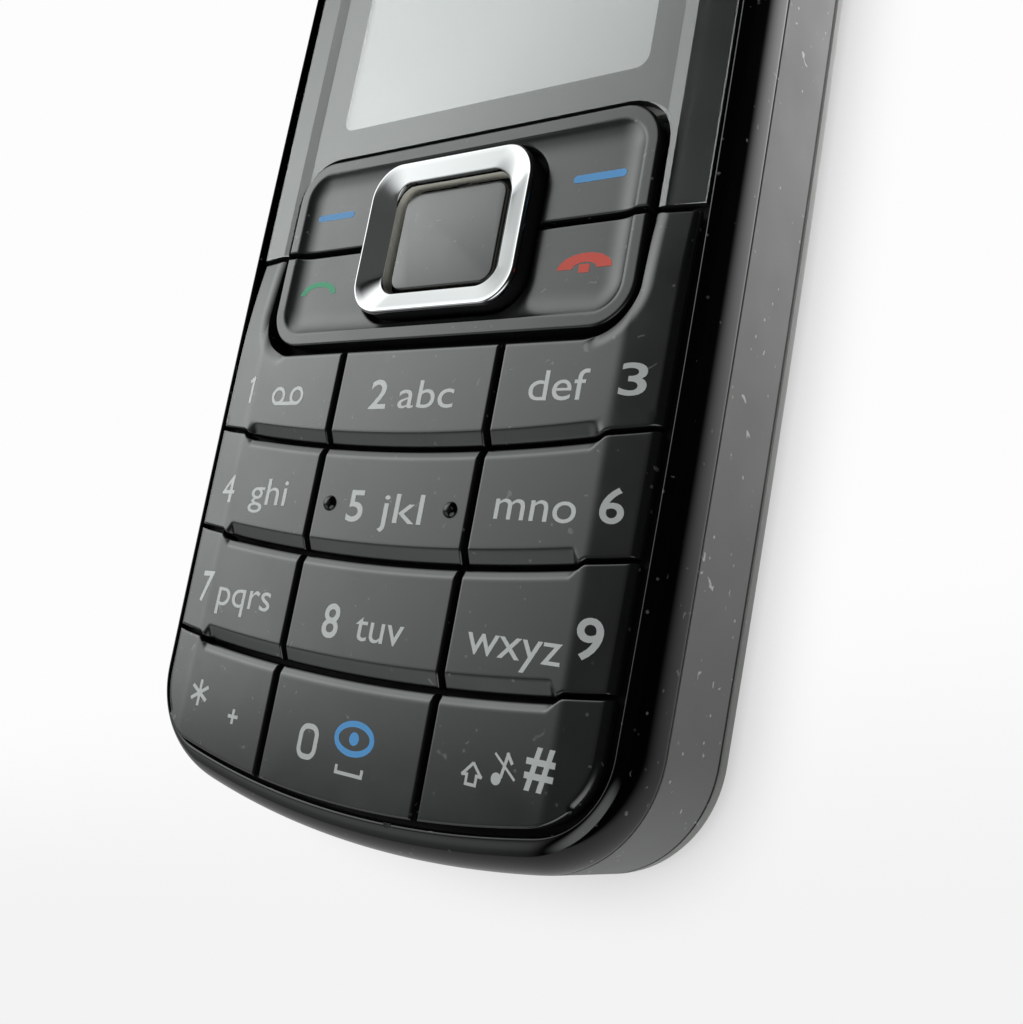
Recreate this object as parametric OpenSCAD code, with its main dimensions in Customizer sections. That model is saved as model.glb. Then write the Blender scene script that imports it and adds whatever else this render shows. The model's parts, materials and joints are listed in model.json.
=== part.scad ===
// Feature phone: a bar handset with a numeric keypad, lying on its back.
// X runs to the right, Y towards the earpiece, Z out of the display.
// The origin is the middle of the footprint, on the back face.

/* [Body] */
// Width across the sides
body_w = 45.7; // [44:0.1:48]
// Length from the ports' end to the earpiece's end
body_l = 108.5; // [106:0.5:114]
// Thickness from the back to the flat of the front
body_t = 15; // [14.8:0.1:17]
// Radius of the slight bow along the sides
side_bow_r = 2000; // [1200:100:4000]
// Radius of the bow across the two ends
end_bow_r = 80; // [60:1:120]
// Corner radius in plan
corner_r = 9; // [8:0.25:11]
// Wall of the middle band
wall_t = 1.2; // [1:0.05:1.4]
// Room between pieces that slip together
slip = 0.1; // [0.06:0.01:0.14]

/* [Front frame] */
// Height of the glossy front frame, down to its seam with the band
frame_h = 4.8; // [4.5:0.1:5.2]
// Width of the frame's rim beside the keys
rim_side_w = 1.5; // [1.3:0.05:1.8]
// Width of the frame's rim at the two ends
rim_end_w = 2.55; // [2.4:0.05:3]
// Depth of the rim's inner edge below the front
rim_drop = 0.8; // [0.7:0.05:1.1]
// Sweep of the rim's rounded section, in degrees from the side wall
rim_sweep = 54; // [45:1:65]
// Bevel that makes the fine groove at each seam
seam_bevel = 0.15; // [0.05:0.01:0.25]
// Width of the shelf that the window lies on
shelf_w = 1.7; // [1.4:0.05:1.9]
// Thickness of the shelf
shelf_t = 0.5; // [0.4:0.05:0.6]
// Thickness of the tongue that plugs into the band
tongue_t = 0.9; // [0.7:0.05:1]
// Radius of the microphone's notch in the rim
notch_r = 0.35; // [0.25:0.05:0.45]
// Distance of the notch from the middle
notch_x = 4.75; // [4:0.25:5.5]
// Depth that the tongue plugs in
tongue_h = 0.6; // [0.4:0.05:0.9]

/* [Front surface] */
// Width of the side facets that the front bends down to
facet_w = 4.45; // [4:0.05:4.8]
// Length over which the bend blends
facet_blend = 1.2; // [0.5:0.1:2]
// Slope of the side facets, in degrees
facet_angle = 8; // [5:0.5:10]
// Width of the facets' roll-off beside the frame
roll_w = 1.75; // [1.5:0.05:2.2]
// Roll-off of the facets, as drop per square of the distance
edge_curve = 0.17; // [0.1:0.01:0.2]

/* [Number keys] */
// Height of the number keys' field, from the frame to the function keys
keypad_h = 33.25; // [32.5:0.25:34.5]
// Height of the first row
first_row_h = 7.95; // [7.5:0.05:8.2]
// Pitch of the rows below
row_pitch = 8.25; // [8:0.05:8.4]
// Radius of the rows' smile
row_bow_r = 156; // [120:2:240]
// Upward step of a row's gap outside the valleys
row_jog = 0.3; // [0:0.05:0.4]
// Distance of the column gaps from the middle
column_x = 7.6; // [7.2:0.05:8]
// Gap between columns
column_gap = 0.55; // [0.4:0.05:0.7]
// Gap between rows
row_gap = 0.36; // [0.3:0.02:0.5]
// Gap between the keys and the frame
field_gap = 0.3; // [0.24:0.02:0.4]
// Thickness of the key caps
cap_t = 1.5; // [1.4:0.05:1.6]
// Travel of a key
press_travel = 0.3; // [0.2:0.05:0.35]
// Room left under a cap that is pressed home
press_room = 0.1; // [0.08:0.01:0.2]
// Depth of the valleys between rows
valley_depth = 0.6; // [0.4:0.05:0.8]
// Width of a valley's long slope, on the upper key
valley_upper_w = 1.15; // [0.9:0.05:1.3]
// Width of a valley's short slope, on the lower key
valley_lower_w = 0.7; // [0.5:0.05:0.9]
// Distance of the valleys' ends from the frame
valley_end_w = 4.35; // [4:0.05:5]
// Radius of the stems below the key caps
stem_r = 1.5; // [1.2:0.05:1.6]
// Gap between a stem and its dome
stem_gap = 0.05; // [0.03:0.01:0.1]
// Radius of the two pips on the middle key
pip_r = 0.4; // [0.3:0.05:0.5]
// Distance of the pips from the middle
pip_x = 5.8; // [5.4:0.1:6]

/* [Function keys] */
// Width of the strips beside the function keys' panel
arm_w = 4.15; // [4:0.05:4.4]
// Height of the panel
panel_h = 16; // [15.8:0.1:16.4]
// Corner radius of the panel
panel_corner_r = 3.2; // [2.5:0.1:3.6]
// Gap beside and above the panel
panel_gap = 0.55; // [0.45:0.05:0.6]
// Gap between the panel and the number keys below it
foot_gap = 0.95; // [0.8:0.05:1.05]
// Height of the panel above the number keys' line
panel_lift = 0.6; // [0.5:0.05:0.7]
// Depth of the strips' upper ends below the front
arm_drop = 0.7; // [0.6:0.05:0.75]
// Slope of the strips towards the window, in degrees
arm_angle = 5; // [4.5:0.5:6]
// Rounding of the edge round the panel
panel_edge = 0.5; // [0.3:0.05:0.6]
// Depth of the panel's rim below the front
panel_drop = 0.5; // [0.3:0.05:0.6]
// Width of the panel's rim
dish_rim_w = 1; // [0.8:0.05:1.2]
// Width of the slope into the dish
dish_slope_w = 0.9; // [0.6:0.05:1.1]
// Depth of the dish
dish_depth = 0.4; // [0.3:0.05:0.45]
// Thickness of the bars below the dish
bar_t = 0.75; // [0.65:0.05:0.85]
// Gap between the upper and the lower bar
bar_gap = 0.5; // [0.4:0.02:0.6]

/* [Navigation key] */
// Width of the navigation ring
nav_w = 15.5; // [15:0.1:15.8]
// Height of the navigation ring
nav_h = 12.2; // [12:0.1:12.4]
// Corner radius of the ring
nav_corner_r = 2.7; // [2.2:0.1:3]
// Rise of the ring above the front
nav_rise = 0.45; // [0.3:0.05:0.6]
// Fall of the ring's face towards the middle
nav_fall = 0.6; // [0.5:0.05:0.65]
// Height of the bright ring's wall
nav_ring_h = 0.4; // [0.35:0.05:0.45]
// Depth that the bright ring plugs into its skirt
nav_plug_h = 0.4; // [0.4:0.05:0.5]
// Width of the skirt's wall round the plug
nav_plug_in = 0.55; // [0.5:0.05:0.6]
// Gap round the ring
nav_gap = 0.35; // [0.3:0.02:0.4]
// Width of the select key
select_w = 9.9; // [9.6:0.1:10.1]
// Height of the select key
select_h = 7.9; // [7.6:0.1:8]
// Corner radius of the select key
select_corner_r = 1.1; // [0.8:0.1:1.4]
// Depth of the select key below the front
select_drop = 0.6; // [0.5:0.05:0.7]
// Gap round the select key
select_gap = 0.55; // [0.5:0.01:0.6]
// Radius of the ribs that the rocking keys tilt on
rock_rib_r = 0.25; // [0.2:0.01:0.28]
// Thickness of the navigation key's rubber pad
nav_pad_t = 0.4; // [0.35:0.05:0.45]
// Radius of the stems below the navigation key
nav_stem_r = 0.8; // [0.6:0.05:0.9]

/* [Display] */
// Depth of the window's middle below the keys' front
window_drop = 1; // [0.9:0.02:1.04]
// Distance of the window's creases from the frame
crease_side_w = 3.1; // [2.9:0.05:3.3]
// Width of the slope inside a crease
crease_w = 1.1; // [0.9:0.05:1.3]
// Height of the creases above the window's middle
crease_h = 0.18; // [0.1:0.02:0.24]
// Strip of window beside the picture
lcd_side_w = 6.65; // [6.4:0.05:7]
// Strip of window above the picture
lcd_end_w = 11.05; // [10.8:0.05:12]
// Strip of window between the function keys and the picture
lcd_above_panel = 3.3; // [3.1:0.1:3.6]
// Dark border of the display module round the picture
lcd_border = 2.2; // [2:0.1:2.4]
// Thickness of the display module
lcd_t = 1.45; // [1.35:0.05:1.5]
// Wall of the holder round the display module
holder_wall = 1.2; // [1:0.1:1.3]
// Thickness of the adhesive frame below the window
adhesive_t = 0.15; // [0.1:0.01:0.2]
// Length of the earpiece's slot
ear_slot_l = 9; // [8:0.5:10]
// Width of the earpiece's slot
ear_slot_w = 1.3; // [1.1:0.1:1.5]
// Distance of the earpiece's slot from the window's upper edge
ear_from_edge = 4; // [3.8:0.1:4.2]
// Length and height of the earpiece capsule
ear_l = 12; // [11:0.5:13]
ear_h = 4.2; // [4:0.1:4.4]

/* [Boards and domes] */
// Thickness of the rubber key mat
keymat_t = 0.95; // [0.85:0.05:1.05]
// Thickness of the film that holds the domes
film_t = 0.12; // [0.1:0.01:0.15]
// Radius of the number keys' domes
dome_r = 2.2; // [2:0.05:2.3]
// Radius of the navigation key's domes
nav_dome_r = 1.6; // [1.4:0.05:1.7]
// Rise of the domes
dome_h = 0.35; // [0.3:0.01:0.4]
// Room round a dome in the key mat
dome_room = 0.2; // [0.15:0.01:0.25]
// Thickness of the main board
board_t = 1; // [0.8:0.1:1.1]
// Height of the shield cans below the board
shield_h = 2.2; // [2:0.1:2.3]
// Sheet of the shield cans
shield_t = 0.25; // [0.2:0.01:0.3]
// Thickness of the deck that carries the board
deck_t = 0.8; // [0.7:0.05:0.9]
// Room between stacked inner pieces
stack_gap = 0.2; // [0.1:0.02:0.24]

/* [Battery and back] */
// Height of the seam between the band and the back covers
cover_h = 2.9; // [2.8:0.05:3.1]
// Floor of the back covers
cover_t = 1.2; // [1.1:0.05:1.25]
// Straight wall of the back covers below the seam
cover_wall_h = 0.45; // [0.3:0.05:0.6]
// Bevel of the back covers along the seam
cover_bevel = 0.22; // [0.15:0.01:0.25]
// Rounding of the back edge, measured inwards
back_round = 3; // [2.5:0.1:3.4]
// Length of the fixed upper back cover
top_bay_l = 25.25; // [25:0.05:26]
// Gap between the two back covers
cover_gap = 0.2; // [0.15:0.01:0.3]
// Depth of the thumb hollow in the battery cover
thumb_depth = 0.45; // [0.3:0.05:0.6]
// Strip beside the battery
side_bay_w = 5.85; // [5.7:0.05:6.2]
// Length of the ports' bay below the battery
port_bay_l = 13.75; // [13.6:0.05:14.5]
// Thickness of the battery
battery_t = 5.6; // [5.2:0.05:5.65]
// Length of the cards' bay above the battery
card_bay_l = 16.5; // [16.3:0.05:17.5]
// Room round the battery in its well
battery_gap = 0.3; // [0.2:0.02:0.35]
// Ribs of the battery's well
rib_t = 0.8; // [0.6:0.05:0.85]
// Length of the cover's hooks
hook_l = 6; // [4:0.5:8]
// Reach of the hooks
hook_reach = 1.2; // [1:0.05:1.25]
// Thickness of the hooks
hook_t = 0.4; // [0.35:0.01:0.45]

/* [Ports and top end] */
// Height of the ports' axes
port_z = 7.6; // [7.5:0.05:7.7]
// Distance of the round ports from the middle
port_x = 11; // [10.6:0.1:11.2]
// Radius of the round ports' noses
nose_r = 1.9; // [1.8:0.02:1.95]
// Bore of the headset jack
jack_r = 1.27; // [1.26:0.01:1.4]
// Depth of the headset jack's bore
jack_depth = 10.2; // [9.5:0.1:10.3]
// Bore of the charger socket
charger_r = 1.05; // [1:0.01:1.2]
// Radius of the charger socket's centre pin
charger_pin_r = 0.3; // [0.2:0.01:0.35]
// Width of the data port's shell
usb_w = 7.7; // [7.4:0.1:7.8]
// Height of the data port's shell
usb_h = 3.7; // [3.4:0.1:3.8]
// Sheet of the data port's shell
usb_t = 0.35; // [0.3:0.01:0.4]
// Width of the power key
power_w = 9; // [8:0.1:10]
// Height of the power key
power_h = 2.2; // [2:0.1:2.3]
// Travel of the power key
power_travel = 0.35; // [0.2:0.05:0.4]

/* [Inner parts] */
// Distance of the camera from the top end
camera_end_w = 13.75; // [13.4:0.05:14]
// Radius of the camera's window
camera_r = 3.6; // [3.2:0.1:3.8]
// Side of the camera's body
camera_s = 8.4; // [8:0.1:8.6]
// Distance of the loudspeaker's middle from the side
speaker_side_w = 10.35; // [10:0.05:10.8]
// Distance of the loudspeaker's middle from the top end
speaker_end_w = 17.05; // [16.8:0.05:17.3]
// Width and length of the loudspeaker
speaker_w = 10; // [9:0.1:10.5]
speaker_l = 13; // [12:0.1:13.5]
// Radius of the vibration motor's can
motor_r = 2.1; // [1.8:0.05:2.2]
// Length of the vibration motor's can
motor_l = 8; // [7:0.1:8.4]
// Length of the vibration motor's weight
weight_l = 3; // [2.5:0.1:3.2]
// Radius of the vibration motor's shaft
shaft_r = 0.4; // [0.3:0.05:0.5]
// Shank radius of the casing's screws
screw_r = 0.7; // [0.6:0.05:0.75]
// Distance of the screws from the side
screw_side_w = 2.95; // [2.9:0.05:3]
// Distance of the vibration motor from the side
motor_side_w = 9.85; // [9.4:0.05:10.2]
// Width of the card reader as a share of the cards' bay
card_share = 0.3; // [0.28:0.01:0.32]
// Lengths of the two shield cans
baseband_l = 28; // [26:0.5:29]
radio_l = 20; // [18:0.5:21]

/* [Hidden] */
$fn = 48;
half_w = body_w / 2;
half_l = body_l / 2;
corner_rate = 1.37;
eps = 0.01;
arc_steps = 12;

// Heights of the stack, from the front down to the deck
front_z = body_t;
seam_z = front_z - frame_h;
cap_z = front_z - cap_t;
shelf_top_z = cap_z - press_travel - press_room;
shelf_z = shelf_top_z - shelf_t;
window_z = shelf_top_z + adhesive_t;
keymat_z = shelf_z - keymat_t;
film_z = keymat_z - film_t;
board_z = film_z - board_t;
shield_z = board_z - shield_h;
deck_z = shield_z - stack_gap - deck_t;
dome_top_z = keymat_z + dome_h;
stem_z = dome_top_z + stem_gap;
tongue_z = seam_z - tongue_h;
battery_z = deck_z - stack_gap - battery_t;

// Places along the phone
open_w = half_w - rim_side_w;
open_l = half_l - rim_end_w;
open_corner_r = corner_r - corner_rate * rim_end_w;
facet_x = open_w - facet_w;
crease_x = open_w - crease_side_w;
edge_x = open_w - roll_w;
valley_half_l = open_w - valley_end_w;
panel_line_y = keypad_h - open_l;
panel_w = 2 * (open_w - arm_w);
panel_mid_y = panel_line_y + panel_lift + panel_h / 2;
panel_top_y = panel_mid_y + panel_h / 2;
lcd_w = 2 * (open_w - lcd_side_w);
lcd_y = panel_top_y + lcd_above_panel;
lcd_h = open_l - lcd_end_w - lcd_y;
lcd_mid_y = lcd_y + lcd_h / 2;
ear_y = open_l - ear_from_edge;
tongue_in = wall_t + slip;
inner_in = tongue_in + tongue_t;
board_w = half_w - inner_in - 0.45;
board_l = half_l - inner_in - 1;
mat_w = half_w - inner_in - 0.35;
mat_l = half_l - inner_in - 0.7;
mat_top_y = lcd_y - lcd_border - slip - holder_wall - 0.5;
battery_w = body_w - 2 * side_bay_w;
battery_l = body_l - port_bay_l - card_bay_l - top_bay_l;
battery_y = port_bay_l - half_l;
battery_mid_y = battery_y + battery_l / 2;
cover_split_y = half_l - top_bay_l;
well_w = battery_w / 2 + battery_gap;
deck_y = battery_y - 2.8;
bay_y = battery_y + battery_l + battery_gap + rib_t + 0.4;
power_z = seam_z - tongue_h - 0.2 - power_h / 2;
screw_x = half_w - screw_side_w;
screw_ys = [battery_y + 3.5, cover_split_y + 3];
hook_ys = [for (share = [0.12, 0.575, 0.95]) battery_y + battery_l * share];
camera_y = half_l - camera_end_w;
speaker_x = speaker_side_w - half_w;
speaker_y = half_l - speaker_end_w;
shield_r = 1;

// Rows and columns of the number keys: name, column, row
KEYS = [
  ["key_1", 0, 0], ["key_2", 1, 0], ["key_3", 2, 0],
  ["key_4", 0, 1], ["key_5", 1, 1], ["key_6", 2, 1],
  ["key_7", 0, 2], ["key_8", 1, 2], ["key_9", 2, 2],
  ["key_star", 0, 3], ["key_0", 1, 3], ["key_hash", 2, 3]
];
key_stem_x = [for (side = [-1, 0, 1]) side * (column_x + open_w) / 2];
row_lines = [for (row = [0:2]) panel_line_y - first_row_h - row * row_pitch];
key_stem_y = [for (row = [0:3]) panel_line_y - first_row_h / 2 - row * row_pitch];
bar_stem_x = (nav_w / 2 + nav_gap + panel_w / 2) / 2;
bar_stem_dy = panel_h / 4;
nav_stem_x = nav_w / 2 - 1.3;
nav_stem_dy = nav_h / 2 - 1.1;
nav_stems = [[nav_stem_x, 0], [-nav_stem_x, 0], [0, nav_stem_dy], [0, -nav_stem_dy]];

// Places of all the domes: x, y, radius
DOMES = concat(
  [for (x = key_stem_x) for (y = key_stem_y) [x, y, dome_r]],
  [for (sx = [-1, 1]) for (sy = [-1, 1]) [sx * bar_stem_x, panel_mid_y + sy * bar_stem_dy, dome_r]],
  [for (p = nav_stems) [p.x, panel_mid_y + p.y, nav_dome_r]],
  [[0, panel_mid_y, nav_dome_r]]
);

// Points on an arc, both ends included
function arc(centre, r, from, to, steps) =
  [for (i = [0:steps]) let (a = from + (to - from) * i / steps) centre + r * [cos(a), sin(a)]];

// Centre of the corner arc that touches the side arc and the end arc from inside
function corner_centre(w, l, r) =
  let (
    side = [w - side_bow_r, 0],
    end = [0, l - end_bow_r],
    apart = norm(end - side),
    along = (end - side) / apart,
    a = side_bow_r - r,
    b = end_bow_r - r,
    reach = (a * a - b * b + apart * apart) / (2 * apart),
    off = sqrt(a * a - reach * reach)
  ) side + along * reach + [-along.y, along.x] * off;

// A quarter of the plan outline, from the side's middle to the end's middle
function outline_quarter(w, l, r) =
  let (
    c = corner_centre(w, l, r),
    from_side = atan2(c.y, c.x - w + side_bow_r),
    to_end = atan2(c.y - l + end_bow_r, c.x)
  ) concat(
    [for (i = [0:3]) let (a = from_side * i / 4) [w - side_bow_r + side_bow_r * cos(a), side_bow_r * sin(a)]],
    arc(c, r, from_side, to_end, 9),
    [for (i = [1:5]) let (a = to_end + (90 - to_end) * i / 6)
      [end_bow_r * cos(a), l - end_bow_r + end_bow_r * sin(a)]]
  );

// The whole outline, anticlockwise: half width, half length, corner radius
function outline(w, l, r) =
  let (q = outline_quarter(w, l, r), n = len(q)) concat(
    q,
    [[0, l]],
    [for (i = [n - 1:-1:1]) [-q[i].x, q[i].y]],
    [for (i = [0:n - 1]) [-q[i].x, -q[i].y]],
    [[0, -l]],
    [for (i = [n - 1:-1:1]) [q[i].x, -q[i].y]]
  );

// The body's outline, drawn in by one distance at the sides and another at the ends
function inset_outline(side_in, end_in) =
  outline(half_w - side_in, half_l - end_in, max(1.5, corner_r - corner_rate * end_in));
function ring_at(side_in, end_in, z) = [for (p = inset_outline(side_in, end_in)) [p.x, p.y, z]];

// A rectangle with round corners
function round_rect(w, h, r, steps = 8) = concat(
  arc([w / 2 - r, h / 2 - r], r, 0, 90, steps),
  arc([r - w / 2, h / 2 - r], r, 90, 180, steps),
  arc([r - w / 2, r - h / 2], r, 180, 270, steps),
  arc([w / 2 - r, r - h / 2], r, 270, 360, steps)
);
function lift(points, z) = [for (p = points) [p.x, p.y, z]];

// A ramp that starts with a blend of the given length
function ramp(u, blend) = u <= 0 ? 0 : u < blend ? u * u / (2 * blend) : u - blend / 2;

// Height of the front surface: flat in the middle, with facets that roll off at the sides
function skin_z(x) =
  front_z - tan(facet_angle) * ramp(abs(x) - facet_x, facet_blend)
    - edge_curve * pow(max(0, abs(x) - edge_x), 2);

// Middle of a row's gap: a wide arc that steps up outside the valleys
function row_y(y0, x) =
  y0 + row_bow_r - sqrt(row_bow_r * row_bow_r - x * x)
    + row_jog * min(1, max(0, (abs(x) - valley_half_l + 0.6) / 1.2));

// Solid between rings of equal point counts, closed by its first and last ring
module loft(rings) {
  n = len(rings[0]);
  m = len(rings);
  sides = [
    for (j = [0:m - 2]) for (i = [0:n - 1])
      let (k = (i + 1) % n)
        for (tri = [[0, 1, 2], [0, 2, 3]])
          let (quad = [j * n + i, (j + 1) * n + i, (j + 1) * n + k, j * n + k])
            [for (v = tri) quad[v]]
  ];
  first = [for (i = [0:n - 1]) i];
  last = [for (i = [n - 1:-1:0]) (m - 1) * n + i];
  polyhedron([for (ring = rings) for (p = ring) p], concat([first], sides, [last]));
}

// Closed loop of rings, where the last ring joins the first: a frame of one section
module loft_frame(rings) {
  n = len(rings[0]);
  m = len(rings);
  sides = [
    for (j = [0:m - 1]) for (i = [0:n - 1])
      let (k = (i + 1) % n, next = (j + 1) % m)
        for (tri = [[0, 1, 2], [0, 2, 3]])
          let (quad = [j * n + i, next * n + i, next * n + k, j * n + k])
            [for (v = tri) quad[v]]
  ];
  polyhedron([for (ring = rings) for (p = ring) p], sides);
}

// Upright prism on a list of points
module prism(points, from, to) translate([0, 0, from]) linear_extrude(to - from) polygon(points);

// Box with round corners in plan
module block(w, h, r, from, to, at = [0, 0])
  translate([at.x, at.y, 0]) prism(round_rect(w, h, r), from, to);

// Space under the front surface, down to a given height
module skin(from) {
  stations = concat(
    [for (i = [4:-1:0]) edge_x + roll_w * i / 4],
    [for (i = [3:-1:0]) facet_x + facet_blend * i / 3]
  );
  right = [for (x = stations) [x, skin_z(x)]];
  left = [for (i = [len(right) - 1:-1:0]) [-right[i].x, right[i].y]];
  rotate([90, 0, 0]) linear_extrude(body_l, center = true)
    polygon(concat([[-stations[0], from], [stations[0], from]], right, left));
}

// Space under the window's surface: a flat middle between two creases, with facets outside them
module pane(from) {
  middle_z = front_z - window_drop;
  edge_z = middle_z + crease_h - tan(facet_angle) * crease_side_w;
  right = [[open_w, edge_z], [crease_x, middle_z + crease_h], [crease_x - crease_w, middle_z]];
  left = [for (i = [2:-1:0]) [-right[i].x, right[i].y]];
  rotate([90, 0, 0]) linear_extrude(body_l, center = true)
    polygon(concat([[-open_w, from], [open_w, from]], right, left));
}

// Well of the function keys, with its rounded edge
module panel_well(from) {
  well_h = panel_h + panel_gap + foot_gap;
  well_y = panel_mid_y + (panel_gap - foot_gap) / 2;
  grown = function (by)
    [for (p = round_rect(panel_w + 2 * (panel_gap + by), well_h + 2 * by, panel_corner_r + panel_gap + by))
      p + [0, well_y]];
  prism(grown(0), from, front_z + 1);
  loft([for (i = [0:6]) let (a = 90 * i / 6)
    lift(grown(panel_edge * (1 - cos(a))), front_z + eps - panel_edge * (1 - sin(a)))]);
}

// Space above the sloping strip beside the function keys
module arm_slope(side)
  translate([side * crease_x, panel_mid_y - bar_gap / 2, front_z - arm_drop])
    rotate([-arm_angle, side * facet_angle, 0]) translate([-open_w / 2, -open_w, 0])
      cube([open_w, 2 * open_w, 2 * cap_t]);

// Field that the keys and the window fill, inside the frame
module field(from, to)
  prism(outline(open_w - field_gap, open_l - field_gap, open_corner_r - field_gap), from, to);

// Front frame: a rounded rim, a shelf for the window and a tongue that plugs into the band
module front_frame() {
  side_reach = rim_side_w / (1 - cos(rim_sweep));
  end_reach = rim_end_w / (1 - cos(rim_sweep));
  rise = (frame_h - rim_drop) / sin(rim_sweep);
  steps = 6;
  rim = [for (i = [1:steps]) let (a = rim_sweep * i / steps)
    ring_at(side_reach * (1 - cos(a)), end_reach * (1 - cos(a)), seam_z + rise * sin(a))];
  section = concat(
    [ring_at(tongue_in, tongue_in, tongue_z),
     ring_at(tongue_in, tongue_in, seam_z),
     ring_at(seam_bevel, seam_bevel, seam_z),
     ring_at(0, 0, seam_z + seam_bevel)],
    rim,
    [ring_at(rim_side_w, rim_end_w, shelf_top_z),
     ring_at(rim_side_w + shelf_w, rim_end_w + shelf_w, shelf_top_z),
     ring_at(rim_side_w + shelf_w, rim_end_w + shelf_w, shelf_z),
     ring_at(inner_in, inner_in, shelf_z),
     ring_at(inner_in, inner_in, tongue_z)]
  );
  color("#0c0d0e") difference() {
    union() {
      loft_frame(section);
      at_screws() translate([0, 0, deck_z + deck_t + slip])
        cylinder(r = screw_r + 0.8, h = shelf_z + shelf_t / 2 - deck_z - deck_t - slip);
    }
    at_screws() translate([0, 0, deck_z]) cylinder(r = screw_r + slip / 2, h = shelf_z - deck_z - slip);
    translate([notch_x, -open_l, shelf_top_z + notch_r]) cylinder(r = notch_r, h = frame_h, $fn = 24);
  }
}

// Places of the casing's screws
module at_screws() for (sx = [-1, 1]) for (y = screw_ys) translate([sx * screw_x, y, 0]) children();

// Window: a clear plate with two creases, cut round the function keys
module display_window() color("#5a6466") difference() {
  intersection() {
    pane(window_z);
    field(window_z, front_z + 1);
    translate([-half_w, panel_mid_y + bar_gap / 2, 0]) cube([body_w, body_l, front_z + 1]);
  }
  panel_well(window_z - 1);
  block(ear_slot_l, ear_slot_w, ear_slot_w / 2 - eps, window_z - 1, front_z + 1, [0, ear_y]);
}

// Black adhesive frame that masks the window's border
module window_adhesive() color("#101112") difference() {
  intersection() {
    prism(outline(open_w - 2 * field_gap, open_l - 2 * field_gap, open_corner_r - 2 * field_gap),
      shelf_top_z, window_z);
    translate([-half_w, panel_mid_y + bar_gap, 0]) cube([body_w, body_l, front_z]);
  }
  block(lcd_w, lcd_h, 1, shelf_top_z - 1, front_z, [0, lcd_mid_y]);
  block(panel_w + 2 * panel_gap, panel_h + 2 * panel_gap, panel_corner_r, shelf_top_z - 1, front_z,
    [0, panel_mid_y]);
  block(ear_slot_l + 1.6, ear_slot_w + 1.6, 1, shelf_top_z - 1, front_z, [0, ear_y]);
}

// Display module on the main board
module display_module() color("#b4b8b8")
  block(lcd_w + 2 * lcd_border, lcd_h + 2 * lcd_border, 0.8, film_z, film_z + lcd_t, [0, lcd_mid_y]);

// Holder that frames the display module
module display_holder() color("#d8d8d4") difference() {
  outer_w = lcd_w + 2 * (lcd_border + slip + holder_wall);
  outer_h = lcd_h + 2 * (lcd_border + slip + holder_wall);
  block(outer_w, outer_h, 1.6, film_z, film_z + lcd_t - slip, [0, lcd_mid_y]);
  block(outer_w - 2 * holder_wall, outer_h - 2 * holder_wall, 0.8, film_z - 1, front_z, [0, lcd_mid_y]);
}

// Earpiece capsule on the main board
module earpiece() color("#3a3a3c") {
  block(ear_l, ear_h, ear_h / 2 - eps, film_z, shelf_top_z - 0.4, [0, ear_y]);
  block(ear_slot_l, ear_slot_w + 0.8, 0.9, shelf_top_z - 0.5, shelf_top_z - slip, [0, ear_y]);
}

// Fine mesh in the earpiece's slot
module earpiece_mesh() color("#1c1c1e") difference() {
  block(ear_slot_l + 1.2, ear_slot_w + 1.2, 0.9, shelf_top_z, window_z - adhesive_t / 5, [0, ear_y]);
  for (i = [-5:5]) translate([i * 0.75, ear_y, shelf_top_z - 1]) cylinder(r = 0.22, h = 3, $fn = 16);
}

// Cell of a number key in plan, between the column gaps and the rows' gaps
function cell(column, row) =
  let (
    edges = [-half_w, -column_x, column_x, half_w],
    x0 = edges[column] + column_gap / 2,
    x1 = edges[column + 1] - column_gap / 2,
    xs = [for (i = [0:arc_steps]) x0 + (x1 - x0) * i / arc_steps],
    low = [for (x = xs) [x, row == 3 ? -half_l : row_y(row_lines[row], x) + row_gap / 2]],
    split_y = panel_mid_y - bar_gap / 2,
    high = [for (x = xs) [x, row == 0 ? split_y : row_y(row_lines[row - 1], x) - row_gap / 2]]
  ) concat(low, [for (i = [arc_steps:-1:0]) high[i]]);

// Valley along a row's gap: a groove with a long and a short slope that fades out at both ends
module valley(y0) {
  fade = 1.5;
  half = [for (x = [0, column_x / 2, column_x, (column_x + valley_half_l) / 2, valley_half_l - fade]) x];
  stations = concat([-valley_half_l], [for (i = [len(half) - 1:-1:1]) -half[i]], half, [valley_half_l]);
  section = function (x) let (
      part = abs(x) > valley_half_l - eps ? 0.03 : 1,
      y = row_y(y0, min(abs(x), valley_half_l - fade))
    )
    [[x, y - valley_lower_w * part, front_z + eps], [x, y, front_z - valley_depth * part],
      [x, y + valley_upper_w * part, front_z + eps]];
  loft([for (x = stations) section(x)]);
}

// Number key: a cap with the front surface's section, its valleys and its stem
module number_key(column, row) color("#2b2d2f") {
  difference() {
    intersection() {
      skin(cap_z);
      field(cap_z, front_z + 1);
      prism(cell(column, row), cap_z, front_z + 1);
    }
    if (row == 0) panel_well(cap_z - 1);
    if (row == 0 && column != 1) arm_slope(column - 1);
    if (row > 0) valley(row_lines[row - 1]);
    if (row < 3) valley(row_lines[row]);
  }
  translate([key_stem_x[column], key_stem_y[row], stem_z]) cylinder(r = stem_r, h = cap_z + 0.3 - stem_z);
  if (column == 1 && row == 1) for (sx = [-1, 1])
    translate([sx * pip_x, key_stem_y[row], front_z - pip_r / 2]) sphere(r = pip_r, $fn = 24);
}

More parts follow.
